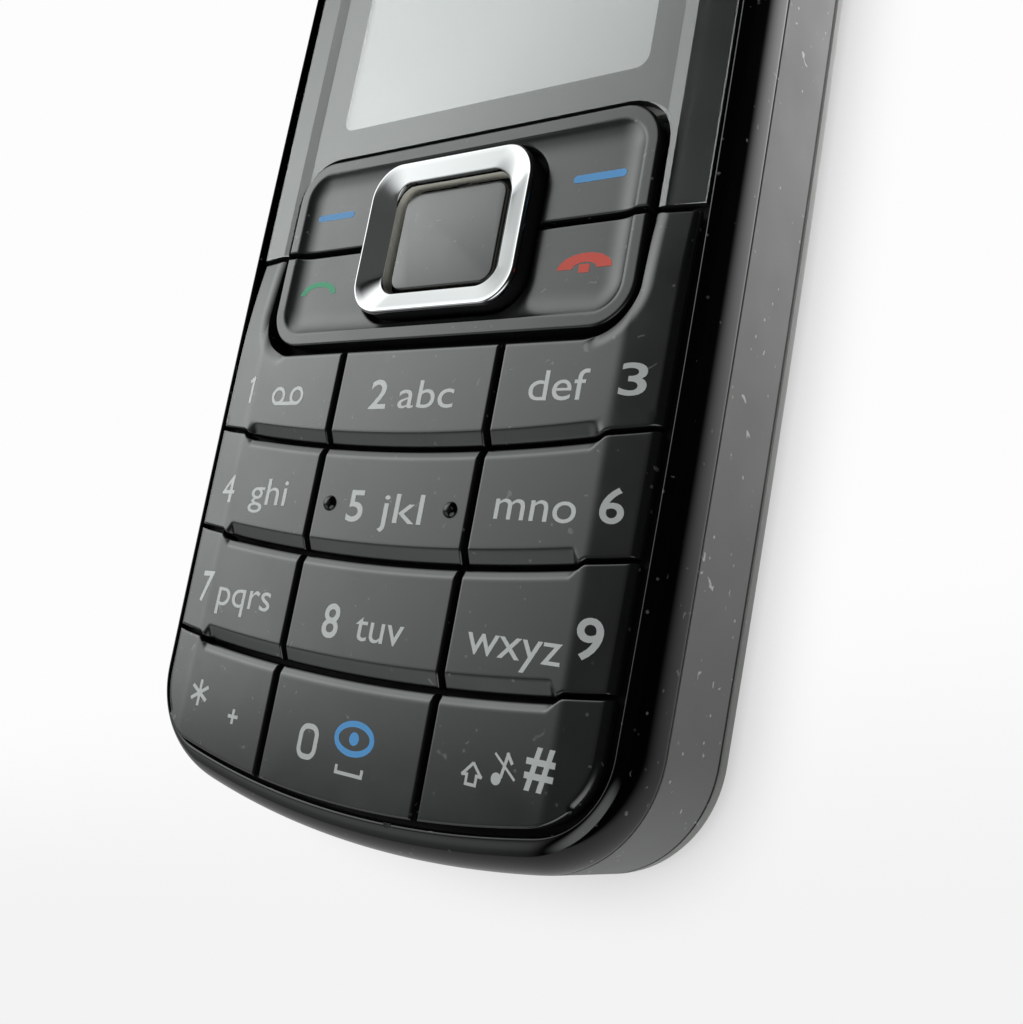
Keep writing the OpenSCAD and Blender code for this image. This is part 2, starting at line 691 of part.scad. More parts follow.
// Function key bar: one half of the dished panel, rocking on a rib along the middle
module function_bar(side) color("#2b2d2f") {
  rim_z = front_z - panel_drop;
  floor_z = rim_z - dish_depth;
  base_z = floor_z - bar_t;
  dish = function (inset, z) lift(
    [for (p = round_rect(panel_w - 2 * inset, panel_h - 2 * inset, max(0.6, panel_corner_r - inset)))
      p + [0, panel_mid_y]], z);
  rib_y = panel_mid_y + side * (nav_h / 2 + nav_gap);
  rib_l = ((panel_h - nav_h) / 2 - nav_gap) / 2;
  pivot_z = shelf_z + stem_gap + rock_rib_r;
  difference() {
    block(panel_w, panel_h, panel_corner_r, base_z, rim_z, [0, panel_mid_y]);
    loft([
      dish(dish_rim_w + dish_slope_w, floor_z),
      dish(dish_rim_w + dish_slope_w / 2, floor_z + dish_depth * 0.3),
      dish(dish_rim_w, rim_z + eps)
    ]);
    block(nav_w + 2 * nav_gap, nav_h + 2 * nav_gap, nav_corner_r + nav_gap, base_z - 1, front_z,
      [0, panel_mid_y]);
    translate([-panel_w, panel_mid_y - (side > 0 ? panel_h : bar_gap / 2), 0])
      cube([2 * panel_w, panel_h + bar_gap / 2, front_z]);
  }
  for (sx = [-1, 1]) translate([sx * bar_stem_x, panel_mid_y + side * bar_stem_dy, stem_z])
    cylinder(r = stem_r, h = base_z + 0.3 - stem_z);
  translate([0, rib_y + (side > 0 ? rib_l : 0), pivot_z]) rotate([90, 0, 0])
    cylinder(r = rock_rib_r, h = rib_l);
  translate([-rock_rib_r, min(rib_y, rib_y + side * rib_l), pivot_z])
    cube([2 * rock_rib_r, rib_l, base_z + 0.1 - pivot_z]);
}
module soft_key_bar() function_bar(1);
module call_key_bar() function_bar(-1);

// Heights of the navigation key's own stack
nav_top_z = front_z + nav_rise;
nav_seat_z = nav_top_z - nav_ring_h;
nav_pad_z = shelf_z + stem_gap + rock_rib_r;
nav_base_z = nav_pad_z + nav_pad_t + stem_gap + rock_rib_r;
nav_hole_w = select_w + 2 * select_gap;
nav_hole_h = select_h + 2 * select_gap;
nav_hole_r = select_corner_r + select_gap;

// Bright ring whose face falls towards the select key
module nav_ring() color("#e4e6e8") difference() {
  union() {
    block(nav_w, nav_h, nav_corner_r, nav_seat_z, nav_top_z, [0, panel_mid_y]);
    ring_plug(0, nav_seat_z + eps);
  }
  block(nav_hole_w, nav_hole_h, nav_hole_r, nav_seat_z - 1, front_z + 2, [0, panel_mid_y]);
  face = function (w, h, r, z) lift([for (p = round_rect(w, h, r)) p + [0, panel_mid_y]], z);
  lip = 2 * 0.25;
  loft([face(nav_hole_w + lip, nav_hole_h + lip, nav_hole_r, nav_top_z - nav_fall),
    face(nav_w - lip, nav_h - lip, nav_corner_r - lip / 2, nav_top_z + eps)]);
}

// Plug below the bright ring
module ring_plug(room, to)
  block(nav_w - 2 * nav_plug_in + 2 * room, nav_h - 2 * nav_plug_in + 2 * room, nav_corner_r - nav_plug_in + room,
    nav_seat_z - nav_plug_h, to, [0, panel_mid_y]);

// Black skirt that carries the bright ring and its stems
module nav_skirt() color("#141516") {
  difference() {
    block(nav_w - 0.1, nav_h - 0.1, nav_corner_r, nav_base_z, nav_seat_z, [0, panel_mid_y]);
    block(nav_hole_w, nav_hole_h, nav_hole_r, nav_base_z - 1, front_z + 1, [0, panel_mid_y]);
    ring_plug(slip, front_z + 1);
  }
  for (p = nav_stems) translate([p.x, panel_mid_y + p.y, stem_z])
    cylinder(r = nav_stem_r, h = nav_base_z + 0.2 - stem_z);
  for (sy = [-1, 1]) translate([0, panel_mid_y + sy * (nav_h / 2 - 0.5), nav_base_z]) {
    rotate([90, 0, 0]) cylinder(r = rock_rib_r, h = 0.6, center = true);
  }
}

// Rubber pad between the skirt and the key mat, with ribs on its underside, inside the stems
pad_hole_w = nav_hole_w - 1.4;
pad_hole_h = nav_hole_h - 1.4;
pad_stem_r = nav_stem_r + 0.25;
rib_x = (pad_hole_w / 2 + nav_stem_x - pad_stem_r) / 2;
module nav_pad() color("#1d1e1f") difference() {
  union() {
    block(nav_w - 0.6, nav_h - 0.6, nav_corner_r, nav_pad_z, nav_pad_z + nav_pad_t, [0, panel_mid_y]);
    for (sx = [-1, 1]) translate([sx * rib_x, panel_mid_y, nav_pad_z]) rotate([0, 90, 0])
      cylinder(r = rock_rib_r, h = 0.7, center = true);
  }
  block(pad_hole_w, pad_hole_h, nav_hole_r, nav_pad_z - 1, front_z, [0, panel_mid_y]);
  for (p = nav_stems) translate([p.x, panel_mid_y + p.y, nav_pad_z - 1])
    cylinder(r = pad_stem_r, h = nav_pad_t + 2);
}

// Select key in the middle of the ring
module select_key() color("#3c4042") {
  top_z = front_z - select_drop;
  base_z = nav_base_z + press_travel;
  block(select_w, select_h, select_corner_r, base_z, top_z, [0, panel_mid_y]);
  translate([0, panel_mid_y, stem_z]) cylinder(r = nav_stem_r + 0.3, h = base_z + 0.2 - stem_z);
}

// Outline shared by the key mat and the dome film
module mat_plate(inset, from, to) intersection() {
  prism(outline(mat_w - inset, mat_l - inset, open_corner_r - 1), from, to);
  translate([-half_w, -half_l, 0]) cube([body_w, half_l + mat_top_y - inset, front_z]);
}

// Rubber key mat with a hole over each dome
module keymat() color("#232425") difference() {
  mat_plate(0, keymat_z, shelf_z);
  for (d = DOMES) translate([d.x, d.y, keymat_z - 1]) cylinder(r = d[2] + dome_room, h = keymat_t + 2);
  at_screws() translate([0, 0, keymat_z - 1]) cylinder(r = screw_r + 0.8 + 2 * slip, h = keymat_t + 2);
}

// Film with the metal switch domes
module dome_sheet() color("#c9b98a") difference() {
  union() {
    mat_plate(0.6, film_z, keymat_z);
    for (d = DOMES) {
      cap_r = (d[2] * d[2] + dome_h * dome_h) / (2 * dome_h);
      translate([d.x, d.y, 0]) intersection() {
        translate([0, 0, keymat_z + dome_h - cap_r]) sphere(r = cap_r, $fn = 96);
        translate([0, 0, film_z]) cylinder(r = d[2], h = 2);
      }
    }
  }
  at_screws() translate([0, 0, film_z - 1]) cylinder(r = screw_r + 0.8 + 2 * slip, h = 3);
}

// Main board with notches round the screw bosses
module main_board() color("#1f5a36") difference() {
  prism(outline(board_w, board_l, open_corner_r - 1), board_z, film_z);
  at_screws() translate([0, 0, board_z - 1]) cylinder(r = screw_r + 0.8 + 2 * slip, h = board_t + 2);
}

// Shield can: an open box of thin sheet under the board
module shield_can(w, l, y) color("#b9bcbd") difference() {
  block(w, l, shield_r, shield_z, board_z, [0, y]);
  block(w - 2 * shield_t, l - 2 * shield_t, shield_r - shield_t, shield_z + shield_t, board_z + 1, [0, y]);
}
shield_w = 2 * screw_x - 9;
baseband_y = battery_y + 6.5;
radio_y = baseband_y + baseband_l + 5;
module baseband_shield() shield_can(shield_w, baseband_l, baseband_y + baseband_l / 2);
module radio_shield() shield_can(shield_w, radio_l, radio_y + radio_l / 2);

// Middle band with the deck, the battery's well, the cover's hooks and the openings for ports
module mid_frame() color("#6b6f70") difference() {
  union() {
    difference() {
      prism(inset_outline(0, 0), cover_h, seam_z);
      prism(inset_outline(wall_t, wall_t), cover_h - 1, seam_z + 1);
    }
    intersection() {
      prism(inset_outline(wall_t / 2, wall_t / 2), deck_z, deck_z + deck_t);
      translate([-half_w, deck_y, 0]) cube([body_w, body_l, front_z]);
    }
    difference() {
      block(2 * (well_w + rib_t), battery_l + 2 * (battery_gap + rib_t), 0.8, cover_h, deck_z + deck_t / 2,
        [0, battery_mid_y]);
      block(2 * well_w, battery_l + 2 * battery_gap, 0.5, cover_h - 1, deck_z, [0, battery_mid_y]);
    }
    for (sx = [-1, 1]) for (y = hook_ys) mirror([sx < 0 ? 1 : 0, 0, 0]) frame_hook(y);
  }
  block(2 * connector_w + 2 * slip, 6, 0.3, cover_h - 1, deck_z, [0, battery_y - 2]);
  at_screws() translate([0, 0, deck_z - 1]) cylinder(r = screw_r + slip, h = 4);
  for (sx = [-1, 1]) translate([sx * port_x, -half_l - 1, port_z]) rotate([-90, 0, 0])
    cylinder(r = nose_r + slip, h = 6);
  translate([0, -half_l + 2, port_z]) rotate([90, 0, 0])
    linear_extrude(4) polygon(round_rect(usb_w + 2 * slip, usb_h + 2 * slip, 0.8));
  translate([0, half_l - 4, power_z]) rotate([-90, 0, 0])
    linear_extrude(6) polygon(round_rect(power_w + 2 * slip, power_h + 2 * slip, 0.9));
  translate([-power_w / 2 - 2, half_l - 7.3, deck_z - 1]) cube([power_w + 4, 7.3 - wall_t, deck_t + 2]);
  block(camera_s + 2 * slip, camera_s + 2 * slip, 0.5, deck_z - 1, deck_z + stack_gap, [0, camera_y]);
  translate([port_x - port_half_w - slip, deck_y - 1, deck_z - 1])
    cube([2 * (port_half_w + slip), jack_back_y + slip - deck_y + 1, deck_t + 2]);
}
connector_w = 4;

// Hook on the well's rib that holds the battery cover's lip
hook_z = cover_h - 1;
module frame_hook(y) {
  translate([well_w, y - hook_l / 2, hook_z]) cube([rib_t, hook_l, 1 + eps]);
  translate([well_w, y - hook_l / 2, hook_z]) cube([rib_t + hook_reach, hook_l, hook_t]);
}

// Shell of both back covers: a shallow tray with a rounded edge
module back_tray() {
  steps = 5;
  rim_z = cover_h - slip / 2;
  wall_z = rim_z - cover_bevel;
  rise = wall_z - cover_wall_h;
  outer = [for (i = [0:steps]) let (a = 90 * i / steps)
    ring_at(back_round * (1 - sin(a)), back_round * (1 - sin(a)), rise * (1 - cos(a)))];
  inner_floor = back_round + 0.4;
  loft(concat(
    outer,
    [ring_at(0, 0, wall_z),
     ring_at(cover_bevel, cover_bevel, rim_z),
     ring_at(wall_t + slip, wall_t + slip, rim_z),
     ring_at(wall_t + 2 * slip, wall_t + 2 * slip, cover_h - 0.5),
     ring_at(inner_floor, inner_floor, cover_t)]
  ));
}

// Battery cover with its lips and a thumb hollow
module battery_cover() color("#55595a") difference() {
  union() {
    intersection() {
      back_tray();
      translate([-body_w, -body_l, -1]) cube([2 * body_w, body_l + cover_split_y - cover_gap / 2, front_z]);
    }
    for (sx = [-1, 1]) for (y = hook_ys) mirror([sx < 0 ? 1 : 0, 0, 0]) cover_lip(y);
  }
  hollow_r = 30;
  translate([0, cover_split_y - 9, thumb_depth - hollow_r]) sphere(r = hollow_r, $fn = 180);
}
module cover_lip(y) {
  lip_x = well_w + rib_t + 0.4;
  translate([lip_x, y - hook_l / 2, hook_z + hook_t + slip])
    cube([half_w - 0.6 - lip_x, hook_l, cover_h - slip / 2 - hook_z - hook_t - slip]);
}

// Fixed upper back cover with the camera's window seat and the loudspeaker's grille
module rear_top_cover() color("#55595a") difference() {
  union() {
    intersection() {
      back_tray();
      translate([-body_w, cover_split_y + cover_gap / 2, -1]) cube([2 * body_w, body_l, front_z]);
    }
    translate([-well_w - 2, cover_split_y + cover_gap / 2, cover_t - 0.2])
      cube([2 * well_w + 4, 0.8, cover_h - slip / 2 - cover_t + 0.2]);
  }
  translate([0, camera_y, -1]) cylinder(r = camera_r - 1, h = 4);
  translate([0, camera_y, -1]) cylinder(r = camera_r + slip, h = 1.8);
  for (i = [-2:2]) block(speaker_w - 4, 0.8, 0.39, -1, cover_t + 1, [speaker_x, speaker_y + i * 1.7]);
}

// Clear window over the camera
module camera_window() color("#20262a") translate([0, camera_y, 0.1]) cylinder(r = camera_r, h = 0.7);

// Camera: a square body and its lens barrel
module camera_module() color("#2a2a2c") {
  block(camera_s, camera_s, 0.6, cover_t + 2, deck_z, [0, camera_y]);
  translate([0, camera_y, 0]) difference() {
    translate([0, 0, cover_t + stack_gap]) cylinder(r = camera_r - 0.2, h = 2);
    translate([0, 0, 0]) cylinder(r1 = camera_r - 0.2, r2 = 0.8, h = cover_t + 1.2);
  }
}

// Loudspeaker on the upper back cover's floor
module loudspeaker() color("#2c2c2e") difference() {
  block(speaker_w, speaker_l, 2.5, cover_t + slip, cover_t + 3.8, [speaker_x, speaker_y]);
  block(speaker_w - 2, speaker_l - 2, 1.8, cover_t - 1, cover_t + slip + 0.5, [speaker_x, speaker_y]);
}

// Antenna carrier along the top end
module antenna() color("#c8a45a") difference() {
  antenna_w = body_w - 13.7;
  antenna_y = half_l - 7.4;
  block(antenna_w, 3.6, 0.8, cover_t + 2, deck_z, [0, antenna_y]);
  for (i = [-3:3]) block(2.4, 2, 0.4, cover_t + 1, cover_t + 3, [i * antenna_w / 7.6, antenna_y]);
}

// Vibration motor: a can with its shaft's bore, and the weight on the shaft
motor_x = half_w - motor_side_w;
motor_y = cover_split_y + 2;
motor_z = deck_z - stack_gap - motor_r;
module vibration_motor() color("#c4c6c8")
  translate([motor_x, motor_y, motor_z]) rotate([-90, 0, 0]) difference() {
  cylinder(r = motor_r, h = motor_l);
  translate([0, 0, motor_l - 2]) cylinder(r = shaft_r + 0.05, h = 3);
}
module vibration_weight() color("#8d8f90")
  translate([motor_x, motor_y + motor_l, motor_z]) rotate([-90, 0, 0]) {
  translate([0, 0, 0.4]) difference() {
    cylinder(r = motor_r - 0.1, h = weight_l);
    translate([-motor_r, shaft_r + 0.2, -1]) cube([2 * motor_r, motor_r, weight_l + 2]);
  }
  translate([0, 0, -1.8]) cylinder(r = shaft_r, h = weight_l + 2);
}

// Battery pack with its contact recess
module battery() color("#9aa0a4") difference() {
  block(battery_w, battery_l, 2, battery_z, battery_z + battery_t, [0, battery_mid_y]);
  block(2 * connector_w + 1, 1.2, 0.3, battery_z + 1, battery_z + battery_t + 1, [0, battery_y]);
}

// Battery connector with three sprung contacts
module battery_connector() color("#1e1e20") {
  back_y = deck_y + 0.2;
  front_y = battery_y - 0.1;
  translate([-connector_w, back_y, cover_h - 0.4])
    cube([2 * connector_w, front_y - back_y - 0.2, deck_z - cover_h + 0.4 - slip]);
  for (i = [-1:1]) translate([i * 2.4 - 0.5, front_y - 0.3, battery_z + 2]) cube([1, 0.7, 2]);
}

// Holders under the deck, beside the battery
module card_slot(w, l, h, x) difference() {
  block(w, l, 0.6, deck_z - h, deck_z, [x, bay_y + l / 2]);
  block(w - 1, l - 1, 0.4, deck_z - h - 1, deck_z - h + 1, [x, bay_y + l / 2]);
}
card_bay_w = half_w - 3.6;
card_w = 2 * card_bay_w * card_share;
sim_w = 2 * card_bay_w - card_w - 0.5;
card_l = card_bay_l - battery_gap - rib_t - 1.2;
module sim_holder() color("#bfc2c4") card_slot(sim_w, card_l, 1.7, sim_w / 2 - card_bay_w);
module card_reader() color("#a8abad") card_slot(card_w, card_l, 1.6, card_bay_w - card_w / 2);

// Round ports: a housing under the board with a nose that reaches through the band
port_back_y = deck_y - 0.2;
jack_back_y = battery_y - battery_gap - rib_t - slip;
port_half_w = 2.7;
function end_y(x) = end_bow_r - half_l - sqrt(end_bow_r * end_bow_r - x * x);
nose_y = end_y(port_x) + 0.9;
module round_port(x, back_y) {
  inner_y = end_y(abs(x) + port_half_w) + inner_in + stack_gap;
  translate([x - port_half_w, inner_y, port_z - 2.5])
    cube([2 * port_half_w, back_y - inner_y, board_z - port_z + 2.5]);
  translate([x, nose_y, port_z]) rotate([-90, 0, 0]) cylinder(r = nose_r, h = 4);
}
module headset_jack() color("#222325") difference() {
  round_port(port_x, jack_back_y);
  translate([port_x, nose_y - 1, port_z]) rotate([-90, 0, 0]) cylinder(r = jack_r, h = jack_depth + 1);
}
module charger_socket() color("#222325") {
  charger_depth = 7;
  difference() {
    round_port(-port_x, port_back_y);
    translate([-port_x, nose_y - 1, port_z]) rotate([-90, 0, 0])
      cylinder(r = charger_r, h = charger_depth + 1);
  }
  translate([-port_x, nose_y + 1.2, port_z]) rotate([-90, 0, 0])
    cylinder(r = charger_pin_r, h = charger_depth - 0.8);
}

// Data port: a sheet shell, its tongue and a foot on the board
module usb_port() color("#c2c5c7") {
  mouth_y = 0.5 - half_l;
  depth = port_back_y - mouth_y;
  translate([0, mouth_y + depth, port_z]) rotate([90, 0, 0]) difference() {
    linear_extrude(depth) polygon(round_rect(usb_w, usb_h, 0.8));
    translate([0, 0, 1.5]) linear_extrude(depth)
      polygon(round_rect(usb_w - 2 * usb_t, usb_h - 2 * usb_t, 0.5));
  }
  translate([-usb_w / 2 + 1.6, mouth_y + 1.2, port_z - 0.4]) cube([usb_w - 3.2, depth - 2, 0.8]);
  translate([-usb_w / 2, port_back_y - 3, port_z + usb_h / 2 - 0.5])
    cube([usb_w, 3, board_z - port_z - usb_h / 2 + 0.5]);
}

// Microphone capsule under the board, beside the data port
mic_x = (port_x - port_half_w + usb_w / 2) / 2;
module microphone() color("#b4b6b8") translate([mic_x, port_back_y - 4, board_z - 1.6]) difference() {
  cylinder(r = 1.6, h = 1.6);
  translate([0, 0, -1]) cylinder(r = 0.4, h = 1.6);
}

// Power key in the top end, and the switch that it presses
module power_key() color("#1b1c1d") intersection() {
  prism(inset_outline(0.1, 0.1), power_z - 4, power_z + 4);
  union() {
    translate([0, half_l + 1, power_z]) rotate([90, 0, 0])
      linear_extrude(3) polygon(round_rect(power_w, power_h, 0.8));
    translate([-1.2, half_l - 4, power_z - 0.7]) cube([2.4, 3, 1.4]);
    translate([-power_w / 2 - 0.8, half_l - wall_t - 1.1, power_z - power_h / 2 - 0.1])
      cube([power_w + 1.6, 0.7, power_h + 0.2]);
  }
}
module power_switch() color("#b0b2b4") {
  face_y = half_l - 4 - power_travel - slip;
  translate([-2.5, face_y - 2.4, power_z - 0.9]) cube([5, 2.2, board_z - power_z + 0.9]);
  translate([-0.8, face_y - 0.4, power_z - 0.5]) cube([1.6, 0.4, 1]);
}

// Casing screws, from under the deck into the front frame's bosses
module screws() color("#9a9da0") at_screws() translate([0, 0, deck_z]) {
  difference() {
    translate([0, 0, -0.9]) cylinder(r = screw_r + 0.7, h = 0.9);
    translate([0, 0, -1.4]) cylinder(r = 0.55, h = 1, $fn = 6);
  }
  cylinder(r = screw_r, h = shelf_z - deck_z - 0.6);
}

front_frame();
display_window();
window_adhesive();
display_module();
display_holder();
earpiece();
earpiece_mesh();
for (key = KEYS) number_key(key[1], key[2]);
soft_key_bar();
call_key_bar();
nav_ring();
nav_skirt();
nav_pad();
select_key();
keymat();
dome_sheet();
main_board();
baseband_shield();
radio_shield();
mid_frame();
rear_top_cover();
camera_module();
camera_window();
loudspeaker();
antenna();
vibration_motor();
vibration_weight();
battery();
battery_connector();
sim_holder();
card_reader();
charger_socket();
headset_jack();
usb_port();
microphone();
power_key();
power_switch();
battery_cover();
screws();
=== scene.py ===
"""Feature phone: smooth surfaces, printed legends and materials over the CAD frame.

Sizes are in millimetres until a mesh is made; the floor and the light are in metres.
"""

import json

import bmesh
import bpy
import numpy as np
from mathutils import Matrix


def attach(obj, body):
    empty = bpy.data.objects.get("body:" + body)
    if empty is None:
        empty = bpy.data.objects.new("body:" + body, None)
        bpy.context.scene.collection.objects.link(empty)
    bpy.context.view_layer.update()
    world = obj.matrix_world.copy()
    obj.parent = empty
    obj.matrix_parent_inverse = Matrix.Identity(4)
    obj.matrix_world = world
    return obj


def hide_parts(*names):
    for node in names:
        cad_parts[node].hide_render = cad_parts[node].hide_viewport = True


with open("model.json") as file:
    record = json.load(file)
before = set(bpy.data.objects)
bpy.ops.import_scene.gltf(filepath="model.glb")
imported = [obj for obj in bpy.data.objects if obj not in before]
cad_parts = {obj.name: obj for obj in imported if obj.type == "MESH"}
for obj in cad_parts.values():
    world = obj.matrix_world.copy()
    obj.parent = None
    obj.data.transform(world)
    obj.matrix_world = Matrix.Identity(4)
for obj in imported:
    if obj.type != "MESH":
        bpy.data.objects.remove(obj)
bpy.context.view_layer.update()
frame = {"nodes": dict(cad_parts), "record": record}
nodes = frame["nodes"]
scene = bpy.context.scene
MM = 0.001

# Camera, as fitted to the photograph
PHOTO_W, PHOTO_H = 1023, 1024
FOCAL_PX = 1127.64
CENTRE_PX = (512.5, 510.3)
CAM_AT = (55.046, -42.438, 72.344)
CAM_TURN = (
    (0.798442, -0.043909, 0.600468),
    (0.176231, 0.970700, -0.163351),
    (-0.575702, 0.236247, 0.782787),
)
cam = bpy.data.cameras.new("camera")
cam.sensor_width = 36
cam.lens = FOCAL_PX / PHOTO_H * cam.sensor_width
cam.shift_x = (PHOTO_W / 2 - CENTRE_PX[0]) / PHOTO_H
cam.shift_y = (CENTRE_PX[1] - PHOTO_H / 2) / PHOTO_H
cam.clip_start = 0.001
cam.dof.use_dof = False
cam_obj = bpy.data.objects.new("camera", cam)
cam_obj.matrix_world = Matrix.Translation([v * MM for v in CAM_AT]) @ Matrix(CAM_TURN).to_4x4()
scene.collection.objects.link(cam_obj)
scene.camera = cam_obj
scene.view_settings.view_transform = "Standard"

# Sizes shared with the CAD model
HALF_W, HALF_L = 22.85, 54.25
SIDE_R, END_R, CORNER_R, CORNER_RATE, CORNER_MIN = 2000.0, 80.0, 9.0, 1.37, 1.5
FRONT_Z, SEAM_Z, CAP_Z, WALL_MIN = 15.0, 10.2, 13.5, 0.02
SHELF_TOP_Z, SHELF_Z, TONGUE_Z = 13.1, 12.6, 9.6
RIM_SIDE, RIM_END, RIM_TOP_Z, RIM_IN = 1.5, 2.55, 14.15, 1.4
SHELF_W, TONGUE_IN, INNER_IN, SEAM_BEVEL = 1.7, 1.3, 2.2, 0.15
FIELD_W, FIELD_L, FIELD_GAP = 20.85, 51.4, 0.3
FIELD_R = CORNER_R - CORNER_RATE * RIM_END - FIELD_GAP
FACET_X, FACET_BLEND, FACET_SLOPE = 17.0, 0.6, np.tan(np.radians(8))
PANEL_LINE_Y, FIRST_ROW_H, ROW_PITCH, ROW_BOW_R, ROW_JOG = -18.45, 7.95, 8.25, 156.0, 0.3
COLUMN_X, COLUMN_GAP, ROW_GAP = 7.6, 0.55, 0.36
VALLEY_UP, VALLEY_LOW, VALLEY_END, VALLEY_FADE = (0.6, 1.15), (0.36, 0.75), 17.0, 0.8
JOG_X, JOG_W = VALLEY_END - 0.3, 0.5
PANEL_W, PANEL_H, PANEL_R, PANEL_Y = 34.4, 16.0, 3.2, -9.85
PANEL_GAP, FOOT_GAP, BAR_GAP = 0.55, 0.95, 0.5
ARM_START, ARM_FALL, ARM_X, ARM_BLEND, ARM_LOW_Y = -19.5, 0.6, 16.5, 1.2, -25.3
RIM_Z, DISH_Z, BAR_BASE_Z = 14.5, 14.1, 13.35
DISH_RIM, DISH_EASE, DISH_LIP = 1.0, 2.2, 0.24
NAV_W, NAV_H, NAV_R, NAV_GAP = 15.5, 12.2, 2.7, 0.35
NAV_HOLE_W, NAV_HOLE_H, NAV_HOLE_R = 11.15, 8.95, 1.65
NAV_TOP_Z, NAV_SEAT_Z, NAV_PLUG_Z = 15.45, 15.05, 14.6
SELECT_W, SELECT_H, SELECT_R, SELECT_Z, SELECT_BASE_Z = 9.9, 7.9, 1.1, 14.4, 13.9
ROW_LINES = [PANEL_LINE_Y - FIRST_ROW_H - i * ROW_PITCH for i in range(3)]
KEY_NAMES = [
    ["key_1", "key_2", "key_3"],
    ["key_4", "key_5", "key_6"],
    ["key_7", "key_8", "key_9"],
    ["key_star", "key_0", "key_hash"],
]
LAST_ROW = len(KEY_NAMES) - 1

# Surfaces: depth of a soft edge, distances of close grid lines from an edge, and the angle of sharp edges
SOFT_DROP, SHARP = 0.24, 40
EDGE_STEPS = np.array([0, 0.008, 0.025, 0.05, 0.085, 0.13, 0.19, 0.27, 0.36, 0.46, 0.56])


def arc(centre, r, start, end, n):
    """n points on a circle's arc, both ends included, angles in degrees."""
    a = np.radians(np.linspace(start, end, n))
    return np.asarray(centre) + r * np.stack([np.cos(a), np.sin(a)], 1)


def straight(start, stop, shares):
    """Points at shares of a straight line."""
    return start + (stop - start) * np.asarray(shares)[:, None]


def corner_of(half_w, half_l, r):
    """Centre and end angles of the corner arc that touches the side arc and the end arc from inside."""
    side, end = np.array([half_w - SIDE_R, 0.0]), np.array([0.0, half_l - END_R])
    apart = np.linalg.norm(end - side)
    ahead = (end - side) / apart
    reach = ((SIDE_R - r) ** 2 - (END_R - r) ** 2 + apart**2) / (2 * apart)
    across = np.array([-ahead[1], ahead[0]])
    centre = side + ahead * reach + across * np.sqrt((SIDE_R - r) ** 2 - reach**2)
    start, stop = (np.degrees(np.arctan2(*(centre - middle)[::-1])) for middle in (side, end))
    return centre, start, stop


def outline(half_w, half_l, r, n_side=16, n_corner=26, n_end=22):
    """Closed plan loop: wide arcs along the sides and ends, joined by corner arcs; anticlockwise."""
    centre, start, stop = corner_of(half_w, half_l, r)
    quarter = np.concatenate([
        arc((half_w - SIDE_R, 0), SIDE_R, 0, start, n_side)[:-1],
        arc(centre, r, start, stop, n_corner)[:-1],
        arc((0, half_l - END_R), END_R, stop, 90, n_end)[:-1],
    ])
    second = np.concatenate([[[0, half_l]], quarter[:0:-1] * [-1, 1]])
    return np.concatenate([quarter, second, -quarter, -second])


def at_height(loop, z):
    """A plan loop lifted to one height."""
    return np.column_stack([loop, np.full(len(loop), z)])


def inset_outline(side_in, end_in, z):
    """The body's outline drawn in by one distance at the sides and another at the ends, at one height."""
    r = max(CORNER_MIN, CORNER_R - CORNER_RATE * end_in)
    return at_height(outline(HALF_W - side_in, HALF_L - end_in, r), z)


def end_y(x, half_l):
    """Distance of an end arc from the middle of the phone, at a given x."""
    return half_l - END_R + np.sqrt(END_R**2 - x**2)


def round_rect(w, h, r, centre=(0.0, PANEL_Y), n_corner=14, n_side=10):
    """Closed loop of a rectangle with round corners, with the same point count for every size."""
    corners = []
    for sx, sy, a in ((1, 1, 0), (-1, 1, 90), (-1, -1, 180), (1, -1, 270)):
        corners.append(arc((sx * (w / 2 - r), sy * (h / 2 - r)), r, a, a + 90, n_corner))
    loop = []
    for corner, following in zip(corners, corners[1:] + corners[:1]):
        loop += [corner, straight(corner[-1], following[0], np.linspace(0, 1, n_side + 1)[1:-1])]
    return np.concatenate(loop) + np.asarray(centre)


def ramp(u, blend):
    """Straight ramp that starts with a parabola of the given length."""
    u = np.maximum(u, 0)
    return np.where(u < blend, u * u / (2 * blend), u - blend / 2)


def row_y(y0, x):
    """Middle of a row's gap: a wide arc that steps up outside the valleys."""
    step = np.clip((np.abs(x) - JOG_X) / JOG_W, 0, 1)
    return y0 + ROW_BOW_R - np.sqrt(ROW_BOW_R**2 - x**2) + ROW_JOG * step


def skin_z(x):
    """Front surface across the phone: flat, then a facet on either side."""
    return FRONT_Z - FACET_SLOPE * ramp(np.abs(x) - FACET_X, FACET_BLEND)


def valley_drop(x, y, soft=0.1):
    """Depth of the valleys between rows: two slopes from each row's gap that fade out at both ends."""
    fade = np.clip((VALLEY_END - np.abs(x)) / VALLEY_FADE, -1, 1)
    total = np.zeros_like(x)
    for y0 in ROW_LINES:
        off = y - row_y(y0, np.minimum(np.abs(x), VALLEY_END - VALLEY_FADE))
        depth, width = (np.where(off > 0, up, low) for up, low in zip(VALLEY_UP, VALLEY_LOW))
        slope = ramp(depth * (fade - np.abs(off) / width) + soft / 2, soft)
        total = np.maximum(total, np.minimum(slope, depth))
    return total


def distance(points, line):
    """Distance of each plan point from an open polyline."""
    a, b = line[:-1], line[1:]
    ab = b - a
    t = ((points[:, None] - a) * ab).sum(2) / np.maximum((ab * ab).sum(1), 1e-12)
    near = a + np.clip(t, 0, 1)[..., None] * ab
    return np.sqrt(((points[:, None] - near) ** 2).sum(2).min(1))


def edge_drop(d, r):
    """Fall of a surface at distance d from an edge: a circle of radius r, or a parabola of width -r."""
    if r < 0:
        return SOFT_DROP * np.clip(1 + d / r, 0, 1) ** 2
    u = np.clip(r - d, 0, r)
    return r - np.sqrt(np.maximum(r * r - u * u, 0))


